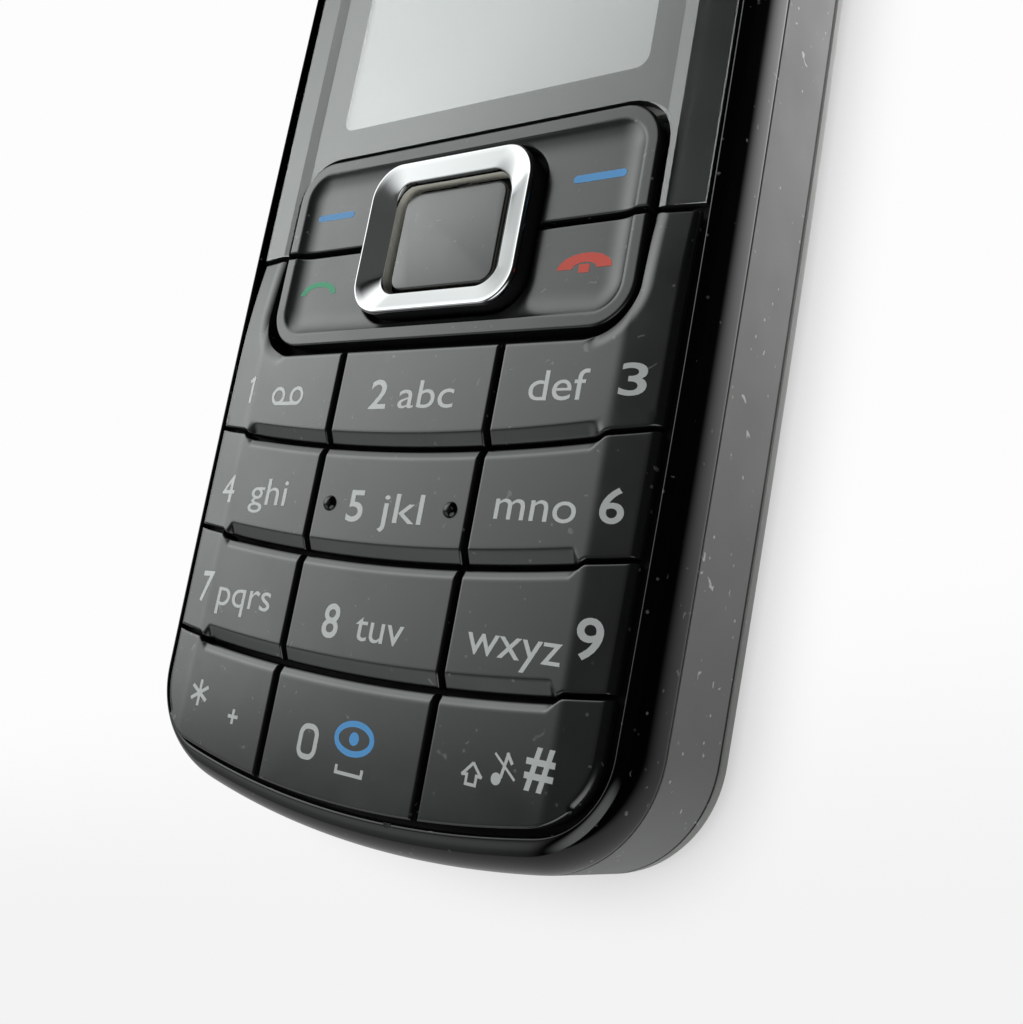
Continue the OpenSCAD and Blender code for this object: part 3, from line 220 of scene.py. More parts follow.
def graded(length, n, fine=(True, True)):
    """Shares from 0 to 1 along a length, with close spacing at the ends that ask for it."""
    close = EDGE_STEPS / length
    start = close if fine[0] else np.array([0.0])
    end = 1 - close[::-1] if fine[1] else np.array([1.0])
    middle = np.linspace(start[-1], end[0], n)[1:-1]
    return np.concatenate([start, middle, end])


def along(line, shares):
    """Points at shares of a polyline's length."""
    step = np.r_[0, np.cumsum(np.linalg.norm(np.diff(line, axis=0), axis=1))]
    at = np.asarray(shares) * step[-1]
    return np.stack([np.interp(at, step, line[:, 0]), np.interp(at, step, line[:, 1])], 1)


def coons(low, high, left, right):
    """Plan points between four edge curves: the blends of both pairs less that of the corners."""
    n, m = len(low), len(left)
    s = np.r_[0, np.cumsum(np.hypot(*np.diff(low, axis=0).T) + np.hypot(*np.diff(high, axis=0).T))]
    s = (s / s[-1])[:, None, None]
    t = np.r_[0, np.cumsum(np.hypot(*np.diff(left, axis=0).T) + np.hypot(*np.diff(right, axis=0).T))]
    t = (t / t[-1])[None, :, None]
    rows = (1 - t) * low[:, None] + t * high[:, None]
    cols = (1 - s) * left[None] + s * right[None]
    flat = (1 - s) * (1 - t) * low[0] + s * (1 - t) * low[-1] + (1 - s) * t * high[0] + s * t * high[-1]
    return (rows + cols - flat).reshape(n, m, 2)


def make(name, verts, faces, material, body, replaces=(), sharp=None):
    """Mesh object from points in millimetres: flat shaded, or smooth but for edges sharper than an angle."""
    mesh = bpy.data.meshes.new(name)
    mesh.from_pydata((np.asarray(verts) * MM).tolist(), [], faces)
    mesh.materials.append(material)
    if sharp:
        mesh.shade_smooth()
        mesh.set_sharp_from_angle(angle=np.radians(sharp))
    obj = bpy.data.objects.new(name, mesh)
    scene.collection.objects.link(obj)
    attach(obj, body)
    if replaces:
        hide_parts(*replaces)
    return obj


def grid_faces(n, m, wrap_n=False, wrap_m=False):
    """Quads of an n by m grid of points, wrapped round where asked."""
    i = np.arange(n if wrap_n else n - 1)[:, None]
    j = np.arange(m if wrap_m else m - 1)[None]
    next_i, next_j = (i + 1) % n, (j + 1) % m
    quads = np.stack([i * m + j, next_i * m + j, next_i * m + next_j, i * m + next_j], 2)
    return quads.reshape(-1, 4).tolist()


def cap(name, low, high, left, right, edges, height, base_z, material, body, slot, mirror):
    """Closed cap: the plan points between four curves, lifted to height(x, y) and rounded at its edges, with
    walls at least WALL_MIN high down to a flat base. edges are (polyline, radius) pairs. mirror is empty, or
    the axis in which the cap is flipped, in y about the panel's middle."""
    plan = coons(low, high, left, right)
    n, m = plan.shape[:2]
    p = plan.reshape(-1, 2)
    z = height(p[:, 0], p[:, 1])
    fall = np.zeros(len(p))
    for line, r in edges:
        fall = np.maximum(fall, edge_drop(distance(p, line), r))
    top = np.column_stack([p, np.maximum(z - fall, base_z + WALL_MIN)])
    index = np.arange(n * m).reshape(n, m)
    loop = np.concatenate([index[:-1, 0], index[-1, :-1], index[:0:-1, -1], index[0, :0:-1]])
    base = top[loop] * [1, 1, 0] + [0, 0, base_z]
    start, count = n * m, len(loop)
    nxt = np.roll(np.arange(count), -1)
    walls = np.stack([loop, start + np.arange(count), start + nxt, loop[nxt]], 1).tolist()
    faces = grid_faces(n, m) + walls + [list(range(start + count - 1, start - 1, -1))]
    verts = np.concatenate([top, base])
    if mirror == "x":
        verts = verts * [-1, 1, 1]
    elif mirror == "y":
        verts = verts * [1, -1, 1] + [0, 2 * PANEL_Y, 0]
    if mirror:
        faces = [f[::-1] for f in faces]
    return make(name, verts, faces, material, body, [body], SHARP)


def sweep(name, loops, material, body, replaces=(), close=False, sharp=SHARP):
    """Surface through closed loops of equal point count: closed on itself, or else capped at both ends."""
    n, m = len(loops), len(loops[0])
    faces = [f[::-1] for f in grid_faces(n, m, close, True)]
    if not close:
        faces += [list(range(m))[::-1], [(n - 1) * m + k for k in range(m)]]
    return make(name, np.concatenate(loops), faces, material, body, replaces, sharp)


def strip(name, section, inside, material, body):
    """Closed section carried along that part of the body's outline where inside(x, y) holds."""
    at = inside(*inset_outline(0, 0, 0)[:, :2].T)
    first = np.flatnonzero(at & ~np.roll(at, 1))[0]
    keep = np.roll(np.arange(len(at)), -first)[:at.sum()]
    loops = [inset_outline(*point)[keep] for point in section]
    n, m = len(loops), len(keep)
    faces = [f[::-1] for f in grid_faces(n, m, True)]
    faces += [[i * m for i in range(n)], [i * m + m - 1 for i in range(n)][::-1]]
    return make(name, np.concatenate(loops), faces, material, body, sharp=SHARP)


# Materials: a node group for shared wear, which feeds only colour and roughness
NOISE_ROUGH, CLOUD_SCALE, CLOUD_RANGE = 0.55, 220, (0.3, 0.7)
SPECK_SCALE, SPECK_EDGE, PATCH_SCALE, PATCH_EDGE = 900, (0.06, 0.13), 350, (0.48, 0.57)
LINT_SCALE, LINT_EDGE, LINT_CUT_SCALE, LINT_CUT = 240, (0.006, 0.014), 1000, (0.66, 0.7)


def group(name, inputs, outputs):
    """Empty node group with float or colour or vector sockets."""
    tree = bpy.data.node_groups.new(name, "ShaderNodeTree")
    for label, kind, value in inputs:
        socket = tree.interface.new_socket(label, in_out="INPUT", socket_type=kind)
        if value is not None:
            socket.default_value = value
    for label, kind in outputs:
        tree.interface.new_socket(label, in_out="OUTPUT", socket_type=kind)
    return tree, tree.nodes.new("NodeGroupInput"), tree.nodes.new("NodeGroupOutput")


def link(tree, a, b):
    """Joins an output socket to an input socket."""
    tree.links.new(a, b)


def fill(node, values):
    """Sets a node's inputs by name."""
    for label, value in values.items():
        node.inputs[label].default_value = value


def noise(tree, vector, scale, detail=4):
    """Noise texture on a vector, from 0 to 1."""
    node = tree.nodes.new("ShaderNodeTexNoise")
    fill(node, {"Scale": scale, "Detail": detail, "Roughness": NOISE_ROUGH})
    link(tree, vector, node.inputs["Vector"])
    return node.outputs["Fac"]


def span(tree, value, low, high, to_low=0.0, to_high=1.0, change="LINEAR"):
    """Value between two limits mapped to the range between two others."""
    node = tree.nodes.new("ShaderNodeMapRange")
    node.interpolation_type = change
    fill(node, {"From Min": low, "From Max": high, "To Min": to_low, "To Max": to_high})
    link(tree, value, node.inputs["Value"])
    return node.outputs["Result"]


def soft_step(tree, value, low, high, to_low, to_high):
    """Smooth change between two values while another goes from one limit to the next."""
    return span(tree, value, low, high, to_low, to_high, "SMOOTHSTEP")


def math(tree, operation, *values):
    """Math node on sockets or numbers."""
    node = tree.nodes.new("ShaderNodeMath")
    node.operation = operation
    for socket, value in zip(node.inputs, values):
        if isinstance(value, (int, float)):
            socket.default_value = value
        else:
            link(tree, value, socket)
    return node.outputs[0]


def wear_group():
    """Wear: cloudy roughness, fine dust specks and short lint strokes from the object's own coordinates."""
    tree, given, result = group(
        "wear",
        [("Vector", "NodeSocketVector", None), ("Color", "NodeSocketColor", (0.1, 0.1, 0.1, 1)),
         ("Dust Color", "NodeSocketColor", (0.8, 0.8, 0.78, 1)), ("Roughness", "NodeSocketFloat", 0.3),
         ("Cloud", "NodeSocketFloat", 0.1), ("Dust", "NodeSocketFloat", 0.3)],
        [("Color", "NodeSocketColor"), ("Roughness", "NodeSocketFloat")],
    )
    place = given.outputs["Vector"]
    cloud = span(tree, noise(tree, place, CLOUD_SCALE), *CLOUD_RANGE, -1, 1)
    rough = math(tree, "MULTIPLY_ADD", cloud, given.outputs["Cloud"], given.outputs["Roughness"])
    cells = tree.nodes.new("ShaderNodeTexVoronoi")
    fill(cells, {"Scale": SPECK_SCALE, "Randomness": 1})
    link(tree, place, cells.inputs["Vector"])
    dots = span(tree, cells.outputs["Distance"], *SPECK_EDGE, 1, 0)
    patches = span(tree, noise(tree, place, PATCH_SCALE, 2), *PATCH_EDGE)
    specks = math(tree, "MULTIPLY", dots, patches)
    off_middle = math(tree, "ABSOLUTE", math(tree, "SUBTRACT", noise(tree, place, LINT_SCALE, 2), 0.5))
    strokes = span(tree, off_middle, *LINT_EDGE, 1, 0)
    cuts = span(tree, noise(tree, place, LINT_CUT_SCALE, 1), *LINT_CUT)
    lint = math(tree, "MULTIPLY", strokes, cuts)
    amount = math(tree, "MULTIPLY", math(tree, "MAXIMUM", specks, lint), given.outputs["Dust"])
    mix = tree.nodes.new("ShaderNodeMix")
    mix.data_type = "RGBA"
    link(tree, amount, mix.inputs["Factor"])
    link(tree, given.outputs["Color"], mix.inputs["A"])
    link(tree, given.outputs["Dust Color"], mix.inputs["B"])
    link(tree, mix.outputs["Result"], result.inputs["Color"])
    link(tree, rough, result.inputs["Roughness"])
    return tree


WEAR = wear_group()


def new_material(name):
    """Material with nodes, and its tree."""
    mat = bpy.data.materials.new(name)
    mat.use_nodes = True
    return mat, mat.node_tree


def paint(name, color, rough, cloud=0.04, dust=0.0, metallic=0.0, ior=1.5, bump=None):
    """Principled material with the wear group. bump is (noise scale, strength, distance in metres)."""
    mat, tree = new_material(name)
    shader = tree.nodes["Principled BSDF"]
    coords = tree.nodes.new("ShaderNodeTexCoord")
    wear = tree.nodes.new("ShaderNodeGroup")
    wear.node_tree = WEAR
    link(tree, coords.outputs["Object"], wear.inputs["Vector"])
    fill(wear, {"Color": (*color, 1), "Roughness": rough, "Cloud": cloud, "Dust": dust})
    link(tree, wear.outputs["Color"], shader.inputs["Base Color"])
    link(tree, wear.outputs["Roughness"], shader.inputs["Roughness"])
    fill(shader, {"Metallic": metallic, "IOR": ior})
    if bump:
        scale, strength, reach = bump
        node = tree.nodes.new("ShaderNodeBump")
        fill(node, {"Strength": strength, "Distance": reach})
        link(tree, noise(tree, coords.outputs["Object"], scale, 3), node.inputs["Height"])
        link(tree, node.outputs["Normal"], shader.inputs["Normal"])
    return mat


def glass(name, color, rough, ior):
    """Clear material that lets light through without darkening what lies below."""
    mat, tree = new_material(name)
    shader = tree.nodes["Principled BSDF"]
    fill(shader, {"Base Color": (*color, 1), "Roughness": rough, "IOR": ior, "Transmission Weight": 1})
    return mat


def key_paint(name, ior):
    """Black plastic of the keys, with a fine grain."""
    return paint(name, (0.0085, 0.009, 0.009), 0.22, 0.04, 0.12, ior=ior, bump=(9000, 0.05, 0.00002))


CASE_GRAIN = (6000, 0.12, 0.00003)
SLOT_PAINT = {
    "gloss_black": paint("gloss_black", (0.001, 0.001, 0.0011), 0.07, 0.02, 0.2),
    "key_plastic": key_paint("key_plastic", 1.7),
    "clear_window": glass("clear_window", (0.98, 0.985, 0.98), 0.03, 1.75),
    "black_mask": paint("black_mask", (0.064, 0.066, 0.066), 0.4),
    "display_grey": paint("display_grey", (0.68, 0.69, 0.68), 0.35, 0.02),
    "white_plastic": paint("white_plastic", (0.55, 0.55, 0.53), 0.45),
    "bare_plastic": paint("bare_plastic", (0.9, 0.86, 0.76), 0.4),
    "chrome": paint("chrome", (0.5, 0.5, 0.505), 0.13, 0.02, metallic=1.0),
    "black_plastic": paint("black_plastic", (0.012, 0.012, 0.013), 0.35, 0.05),
    "dark_rubber": paint("dark_rubber", (0.008, 0.008, 0.008), 0.7),
    "dome_film": paint("dome_film", (0.55, 0.5, 0.36), 0.4),
    "green_board": paint("green_board", (0.02, 0.13, 0.06), 0.35),
    "sheet_steel": paint("sheet_steel", (0.6, 0.61, 0.62), 0.32, 0.06, metallic=1.0),
    "dense_metal": paint("dense_metal", (0.35, 0.35, 0.36), 0.45, metallic=1.0),
    "band_grey": paint("band_grey", (0.27, 0.272, 0.265), 0.55, 0.05, 1.0, bump=CASE_GRAIN),
    "cover_grey": paint("cover_grey", (0.385, 0.39, 0.37), 0.55, 0.05, 0.4, bump=CASE_GRAIN),
    "antenna_foil": paint("antenna_foil", (0.7, 0.56, 0.28), 0.35, metallic=1.0),
    "battery_wrap": paint("battery_wrap", (0.33, 0.35, 0.36), 0.45),
}
BAR_MAT = key_paint("bar_plastic", 1.62)
LEGEND = paint("legend_print", (0.66, 0.67, 0.67), 0.22, 0.02, ior=1.7)
BLUE = paint("legend_blue", (0.1, 0.42, 0.9), 0.5, 0.02)
GREEN = paint("legend_green", (0.06, 0.5, 0.25), 0.5, 0.02)
RED = paint("legend_red", (0.85, 0.075, 0.04), 0.5, 0.02)

# CAD nodes: the material of their slot, smooth but for edges sharper than an angle
WINDOW_SHARP, NODE_SHARP, WELD_REACH = 6, 28, 1e-6
for part in frame["record"]["subparts"]:
    obj = nodes[part["node"]]
    mesh = obj.data
    mesh.materials.clear()
    mesh.materials.append(SLOT_PAINT[part["material_slot"]])
    if "custom_normal" in mesh.attributes:
        mesh.attributes.remove(mesh.attributes["custom_normal"])
    mesh.shade_smooth()
    weld = obj.modifiers.new("weld", "WELD")
    weld.merge_threshold = WELD_REACH
    sharp = obj.modifiers.new("sharp", "EDGE_SPLIT")
    sharp.use_edge_sharp = False
    sharp.split_angle = np.radians(WINDOW_SHARP if part["node"] == "display_window" else NODE_SHARP)

# Mask below the window: grown a little into it, as glued, so that the two don't share a face
BOND = 0.01
bond = nodes["window_adhesive"].modifiers.new("bond", "DISPLACE")
bond.mid_level = 0
bond.strength = BOND * MM


def repaint(node, material, choose):
    """Second material on the faces of a CAD node picked by their normals and their middles in millimetres."""
    mesh = nodes[node].data
    mesh.materials.append(material)
    normal, middle = np.empty(len(mesh.polygons) * 3), np.empty(len(mesh.polygons) * 3)
    mesh.polygons.foreach_get("normal", normal)
    mesh.polygons.foreach_get("center", middle)
    picked = choose(normal.reshape(-1, 3), middle.reshape(-1, 3) / MM)
    mesh.polygons.foreach_set("material_index", picked.astype(np.int32))


# The window's walls are painted black as painted shade in the gaps around it, and the wall of the hole in the
# navigation key's skirt is bare
WINDOW_WALL, SKIRT_WALL = 0.85, 0.3
SKIRT_HOLE_X, SKIRT_HOLE_Y = 5.9, 4.9


def skirt_hole(normal, middle):
    """Faces of the skirt's hole: the upright ones near the panel's middle."""
    near = (np.abs(middle[:, 0]) < SKIRT_HOLE_X) & (np.abs(middle[:, 1] - PANEL_Y) < SKIRT_HOLE_Y)
    return (np.abs(normal[:, 2]) < SKIRT_WALL) & near


# Painted shade: the window's upright and steep faces are dark rubber
repaint("display_window", SLOT_PAINT["dark_rubber"], lambda normal, _: np.abs(normal[:, 2]) < WINDOW_WALL)
repaint("nav_skirt", SLOT_PAINT["bare_plastic"], skirt_hole)

# Front frame: the section of the rounded rim, shelf and tongue carried round the body's outline
EDGE_R, EDGE_LEAN, EDGE_TURN = 0.13, 14, (6, -3, -12, -22, -34, -50, -70, -90)
RIM_START, RIM_STEPS = 0.05, 26
SEAM_ROUND = [(SEAM_BEVEL + 0.05, 0), (SEAM_BEVEL, 0.01), (0.05, 0.07)]


def even(inward, z):
    """Section point at one distance inside the outline, all round."""
    return inward, inward, z


def on_rim(inward, z):
    """Section point on the rim, which is wider at the ends than at the sides."""
    return inward, inward * RIM_END / RIM_SIDE, z


section = [even(TONGUE_IN, TONGUE_Z), even(TONGUE_IN, SEAM_Z)]
section += [even(inward, SEAM_Z + up) for inward, up in SEAM_ROUND]
round_start = len(section)
last = np.arccos(1 - (RIM_IN - EDGE_R * (1 + np.sin(np.radians(EDGE_LEAN)))) / RIM_SIDE)
for a in np.linspace(RIM_START, 1, RIM_STEPS) * last:
    section.append(on_rim(RIM_SIDE * (1 - np.cos(a)), SEAM_Z + (RIM_TOP_Z - SEAM_Z) * np.sin(a)))
edge_mid = section[-1][2] - EDGE_R * np.cos(np.radians(EDGE_LEAN))
for a in np.radians(EDGE_TURN):
    section.append(on_rim(RIM_IN - EDGE_R * (1 + np.sin(a)), edge_mid + EDGE_R * np.cos(a)))
rim_top = np.array(section[round_start:round_start + RIM_STEPS + 2])
shelf = len(section)
ledge = RIM_SIDE + SHELF_W, RIM_END + SHELF_W
section += [on_rim(RIM_IN, SHELF_TOP_Z), (*ledge, SHELF_TOP_Z), (*ledge, SHELF_Z)]
section += [even(INNER_IN, SHELF_Z), even(INNER_IN, TONGUE_Z)]
rim_loops = [inset_outline(*point) for point in section]
rim = sweep("frame_rim", rim_loops, SLOT_PAINT["gloss_black"], "casing", ["front_frame"],
            close=True)
# Painted shade: the shelf and the faces inside it, seen through the gaps beside the keys, are dark rubber to
# stand for the shade in those gaps
rim.data.materials.append(SLOT_PAINT["dark_rubber"])
of_loop = np.arange(len(rim.data.polygons)) // (len(rim.data.polygons) // len(section))
rim.data.polygons.foreach_set("material_index", (of_loop >= shelf).astype(np.int32))

# Band and battery cover: smooth skins over the sides and corners, a hair outside the CAD faces
SKIN, SKIN_T, SEAM_SHADOW_TOP, SEAM_SHADOW_BASE, BAND_DOWN = 0.002, 0.25, 0.28, 0.005, 0.01
COVER_Z, COVER_WALL_Z, COVER_BEVEL, COVER_SLIP, COVER_START = 2.9, 0.45, 0.22, 0.05, 18
TUCK_IN, TUCK_DOWN, BACK_ROUND, SPLIT_END_Y, PORTS_END_X = 0.1, 0.12, 3, 28.7, 13.4


def wall_section(low, high):
    """Closed section of a thin skin on the body's upright wall, between two heights."""
    return [even(-SKIN, low), even(-SKIN, high), even(SKIN_T, high), even(SKIN_T, low)]


# Painted shadow: a dark strip between the band and the cover stands for the shade in the gap at their seam
seam_shadow_loops = [inset_outline(*point) for point in wall_section(COVER_Z + SEAM_SHADOW_BASE, COVER_Z + SEAM_SHADOW_TOP)]
sweep("band_seam_shadow", seam_shadow_loops, SLOT_PAINT["dark_rubber"], "casing", close=True)
band_section = wall_section(COVER_Z + SEAM_SHADOW_TOP, SEAM_Z - BAND_DOWN)
for side, inside in (("left", lambda x, y: x < -PORTS_END_X), ("right", lambda x, y: x > PORTS_END_X)):
    strip("band_skin_" + side, band_section, inside, SLOT_PAINT["band_grey"], "casing")
cover_rim = COVER_Z - COVER_SLIP
cover_rise = cover_rim - COVER_BEVEL - COVER_WALL_Z


def cover_round(deep):
    """Section of the cover's round, a quarter ellipse from the back to the wall, moved inwards by a depth."""
    a = np.radians(np.linspace(COVER_START, 90, 9))
    inward = BACK_ROUND * (1 - np.sin(a)) + deep * np.sin(a)
    return list(zip(inward, inward, cover_rise * (1 - np.cos(a)) + deep * np.cos(a)))


cover_section = cover_round(-SKIN)
cover_section += [even(-SKIN, cover_rim - COVER_BEVEL), even(COVER_BEVEL - SKIN, cover_rim)]
cover_section += [even(COVER_BEVEL + TUCK_IN, cover_rim - TUCK_DOWN)] + cover_round(SKIN_T)[::-1]
strip("battery_cover_skin", cover_section, lambda x, y: y < SPLIT_END_Y, SLOT_PAINT["cover_grey"],
      "battery_cover")

# Number keys
KEY_MAT = SLOT_PAINT["key_plastic"]
KEY_EDGE, WELL_EDGE, SIDE_EDGE, ARM_EDGE = 0.16, 0.26, 0.55, -1.0
WELL_LOW = PANEL_Y - PANEL_H / 2 - FOOT_GAP
WELL_X = PANEL_W / 2 + PANEL_GAP
WELL_R = PANEL_R + PANEL_GAP
SPLIT_Y = PANEL_Y - BAR_GAP / 2
COL_X = COLUMN_X + COLUMN_GAP / 2
MID_X = COLUMN_X - COLUMN_GAP / 2
ARM_CUT, ARM_RISE, ARM_SOFT_START = 0.58, 0.48, 8

# Rough sizes of the keys, for the spacing of grid lines
SIDE_KEY_W, KEY_H, ARM_W, ARM_H, ARM_T = 13, 8, 7, 6, 5


def key_height(x, y):
    """Front surface of the number keys: the section across the phone less the valleys. Beside the function
    keys it falls more and more towards the window."""
    up = np.clip((y - ARM_START) / (SPLIT_Y - ARM_START), 0, 1)
    out = np.clip((np.abs(x) - ARM_X) / ARM_BLEND, 0, 1)
    return skin_z(x) - valley_drop(x, y) - ARM_FALL * (up * out) ** 2


def side_x(y):
    """Side edge of the keys' field at a given y."""
    return FIELD_W - SIDE_R + np.sqrt(SIDE_R**2 - y**2)


def on_side(y):
    """Points of the field's side edge at given y."""
    return np.stack([side_x(y), y], 1)


def field_low(x):
    """Lower edge of the keys' field between its corners."""
    return -end_y(x, FIELD_L)


def well_low(x):
    """Lower edge of the function keys' well."""
    return np.full_like(x, WELL_LOW)


def lines_y(row):
    """Lower and upper edge of a row of keys, as functions of x."""
    low = (lambda x: row_y(ROW_LINES[row], x) + ROW_GAP / 2) if row < LAST_ROW else field_low
    high = (lambda x: row_y(ROW_LINES[row - 1], x) - ROW_GAP / 2) if row else well_low
    return low, high


def on_curve(y_of, x0, x1, shares):
    """Points of a curve y(x) at shares of its x span."""
    x = x0 + (x1 - x0) * np.asarray(shares)
    return np.stack([x, y_of(x)], 1)


def middle_key(row):
    """Edge curves and roundings of a key of the middle column."""
    s, t = graded(2 * MID_X, 70), graded(KEY_H, 50)
    low, high = (on_curve(y_of, -MID_X, MID_X, s) for y_of in lines_y(row))
    left, right = (straight(low[end], high[end], t) for end in (0, -1))
    edges = [(low, KEY_EDGE), (high, KEY_EDGE if row else WELL_EDGE), (left, KEY_EDGE), (right, KEY_EDGE)]
    return low, high, left, right, edges


def arm_key():
    """Edge curves and roundings of the first row's side key, which reaches up beside the function keys."""
    outer_low = on_curve(lines_y(0)[0], COL_X, side_x(ARM_LOW_Y), np.linspace(0, 1, 60))
    outer_side = on_side(np.linspace(outer_low[-1, 1], SPLIT_Y, 60))
    inner_low = np.array([[COL_X, WELL_LOW], [WELL_X - WELL_R, WELL_LOW]])
    inner_arc = arc((WELL_X - WELL_R, WELL_LOW + WELL_R), WELL_R, -90, 0, 40)
    inner_side = np.array([[WELL_X, WELL_LOW + WELL_R], [WELL_X, SPLIT_Y]])
    foot, rise = graded(ARM_W, 40, (True, False)), graded(ARM_H, 40, (False, True))[1:]
    half = np.linspace(0, 1, 16)[1:]
    low = np.concatenate([
        along(outer_low, ARM_CUT * foot), along(outer_low, ARM_CUT + (1 - ARM_CUT) * half),
        along(outer_side, ARM_RISE * half), along(outer_side, ARM_RISE + (1 - ARM_RISE) * rise),
    ])
    turn = np.concatenate([half / 2, 0.5 + half / 2])
    high = np.concatenate([along(inner_low, foot), along(inner_arc, turn), along(inner_side, rise)])
    left, right = (straight(low[end], high[end], graded(ARM_T, 60)) for end in (0, -1))
    soft_line = np.concatenate([inner_arc[ARM_SOFT_START:], inner_side[1:]])
    edges = [(outer_low, KEY_EDGE), (outer_side, SIDE_EDGE), (high, WELL_EDGE), (left, KEY_EDGE),
             (right, KEY_EDGE), (soft_line, ARM_EDGE)]
    return low, high, left, right, edges


def row_key(row):
    """Edge curves and roundings of a side key between two rows' gaps."""
    low_y, high_y = lines_y(row)
    s, t = graded(SIDE_KEY_W, 80), graded(KEY_H, 50)
    low = on_curve(low_y, COL_X, side_x(ROW_LINES[row]), s)
    high = on_curve(high_y, COL_X, side_x(ROW_LINES[row - 1]), s)
    left, right = straight(low[0], high[0], t), on_side(low[-1, 1] + (high[-1, 1] - low[-1, 1]) * t)
    edges = [(low, KEY_EDGE), (high, KEY_EDGE), (left, KEY_EDGE), (right, SIDE_EDGE)]
    return low, high, left, right, edges


def corner_key():
    """Edge curves and roundings of the last row's side key, which ends in the field's round corner."""
    high_y = lines_y(LAST_ROW)[1]
    centre, start, stop = corner_of(FIELD_W, FIELD_L, FIELD_R)
    half_turn = (start + stop) / 2
    lower_arc = arc(centre, FIELD_R, stop, half_turn, 40) * [1, -1]
    upper_arc = arc(centre, FIELD_R, half_turn, start, 40) * [1, -1]
    foot = on_curve(field_low, COL_X, lower_arc[0, 0], np.linspace(0, 1, 60))
    bottom = np.concatenate([foot, lower_arc[1:]])
    top_y = high_y(np.array([side_x(ROW_LINES[-1])]))[0]
    rise = np.concatenate([upper_arc, on_side(np.linspace(upper_arc[-1, 1], top_y, 40))[1:]])
    s, t = graded(SIDE_KEY_W, 80), graded(KEY_H, 60)
    low, high = along(bottom, s), on_curve(high_y, COL_X, rise[-1, 0], s)
    left, right = straight(low[0], high[0], t), along(rise, t)
    edges = [(bottom, KEY_EDGE), (high, KEY_EDGE), (left, KEY_EDGE), (rise, SIDE_EDGE)]
    return low, high, left, right, edges


for row, (left_name, middle_name, right_name) in enumerate(KEY_NAMES):
    if row == 0:
        side_curves = arm_key()
    elif row < LAST_ROW:
        side_curves = row_key(row)
    else:
        side_curves = corner_key()
    for name, curves, mirror in ((middle_name, middle_key(row), ""), (right_name, side_curves, ""),
                                 (left_name, side_curves, "x")):
        cap(name + "_cap", *curves, key_height, CAP_Z, KEY_MAT, name, "key_plastic", mirror)

# Function key bars: a band between the navigation key's hole and the panel's outline, dished inside its rim
BAR_EDGE, BAR_END_EDGE, BAR_T = 0.2, 0.14, 5
panel_loop = round_rect(PANEL_W, PANEL_H, PANEL_R)
panel_line = np.concatenate([panel_loop, panel_loop[:1]])


def bar_height(x, y):
    """Flat rim along the panel's outline, then a slope that starts steep and eases out into the dish."""
    d = distance(np.stack([x, y], 1), panel_line)
    u = np.clip((d - DISH_RIM) / DISH_EASE, 0, 1)
    edge = np.clip((d - DISH_RIM + DISH_LIP / 2) / DISH_LIP, 0, 1)
    return RIM_Z - (RIM_Z - DISH_Z) * (1 - (1 - u) ** 3) * edge


def half_path(w, h, r, shares_side):
    """Open path over the upper half of a rounded rectangle, from its left end to its right end."""
    y0 = PANEL_Y + BAR_GAP / 2
    cy, cx = PANEL_Y + h / 2 - r, w / 2 - r
    left = np.array([[-w / 2, y0], [-w / 2, cy]])
    top = np.array([[-cx, PANEL_Y + h / 2], [cx, PANEL_Y + h / 2]])
    turn = np.linspace(0, 1, 24)[1:]
    rise_part = along(left, shares_side)
    right_part = rise_part[::-1] * [-1, 1]
    return np.concatenate([
        rise_part, along(arc((-cx, cy), r, 180, 90, 40), turn), along(top, np.linspace(0, 1, 40)[1:]),
        along(arc((cx, cy), r, 90, 0, 40), turn), right_part[1:]])


bar_shares = graded(BAR_T, 30, (True, False))
outer = half_path(PANEL_W, PANEL_H, PANEL_R, bar_shares)
inner = half_path(NAV_W + 2 * NAV_GAP, NAV_H + 2 * NAV_GAP, NAV_R + NAV_GAP, bar_shares)
start, stop = (straight(inner[end], outer[end], graded(BAR_T, 60)) for end in (0, -1))
edges = [(outer, BAR_EDGE), (inner, BAR_EDGE), (start, BAR_END_EDGE), (stop, BAR_END_EDGE)]
for name, mirror in (("soft_key_bar", ""), ("call_key_bar", "y")):
    cap(name + "_cap", inner, outer, start, stop, edges, bar_height, BAR_BASE_Z, BAR_MAT, name, "key_plastic",
        mirror)

# Navigation ring and select key: sections carried round rounded rectangles. The ring's give shares of the way
# from its outer edge to its hole with depths below the top, or on the facet with shares of its fall
RING_ROUND = [(0, 0.25), (0.004, 0.18), (0.014, 0.11), (0.032, 0.05), (0.056, 0.015), (0.08, 0)]
RING_FACET = [(0.1, 0), (0.12, 0.012), (0.3, 0.23), (0.5, 0.465), (0.7, 0.7), (0.9, 0.935), (0.945, 0.985)]
RING_LIP = [(0.965, 0.003), (0.98, 0.012), (0.992, 0.03), (1.0, 0.06)]
RING_FALL, RING_SHARP = (0.5, 0.78, 0.22), 60
SELECT_ROUND = [(0, 0.18), (0.015, 0.1), (0.05, 0.045), (0.11, 0.012), (0.2, 0)]


def ring_loop(share, z, fall=0.0):
    """Loop between the ring's outer edge (share 0) and its hole (share 1), lowered by a share of RING_FALL:
    least at the upper end, most at the sides."""
    size = [a + (b - a) * share for a, b in ((NAV_W, NAV_HOLE_W), (NAV_H, NAV_HOLE_H), (NAV_R, NAV_HOLE_R))]
    flat = round_rect(*size, n_corner=25)
    ahead = np.roll(flat, -1, 0) - np.roll(flat, 1, 0)
    up = -ahead[:, 0] / np.linalg.norm(ahead, axis=1)
    down = np.interp(up, [-1, 0, 1], RING_FALL)
    return np.column_stack([flat, z - fall * down])


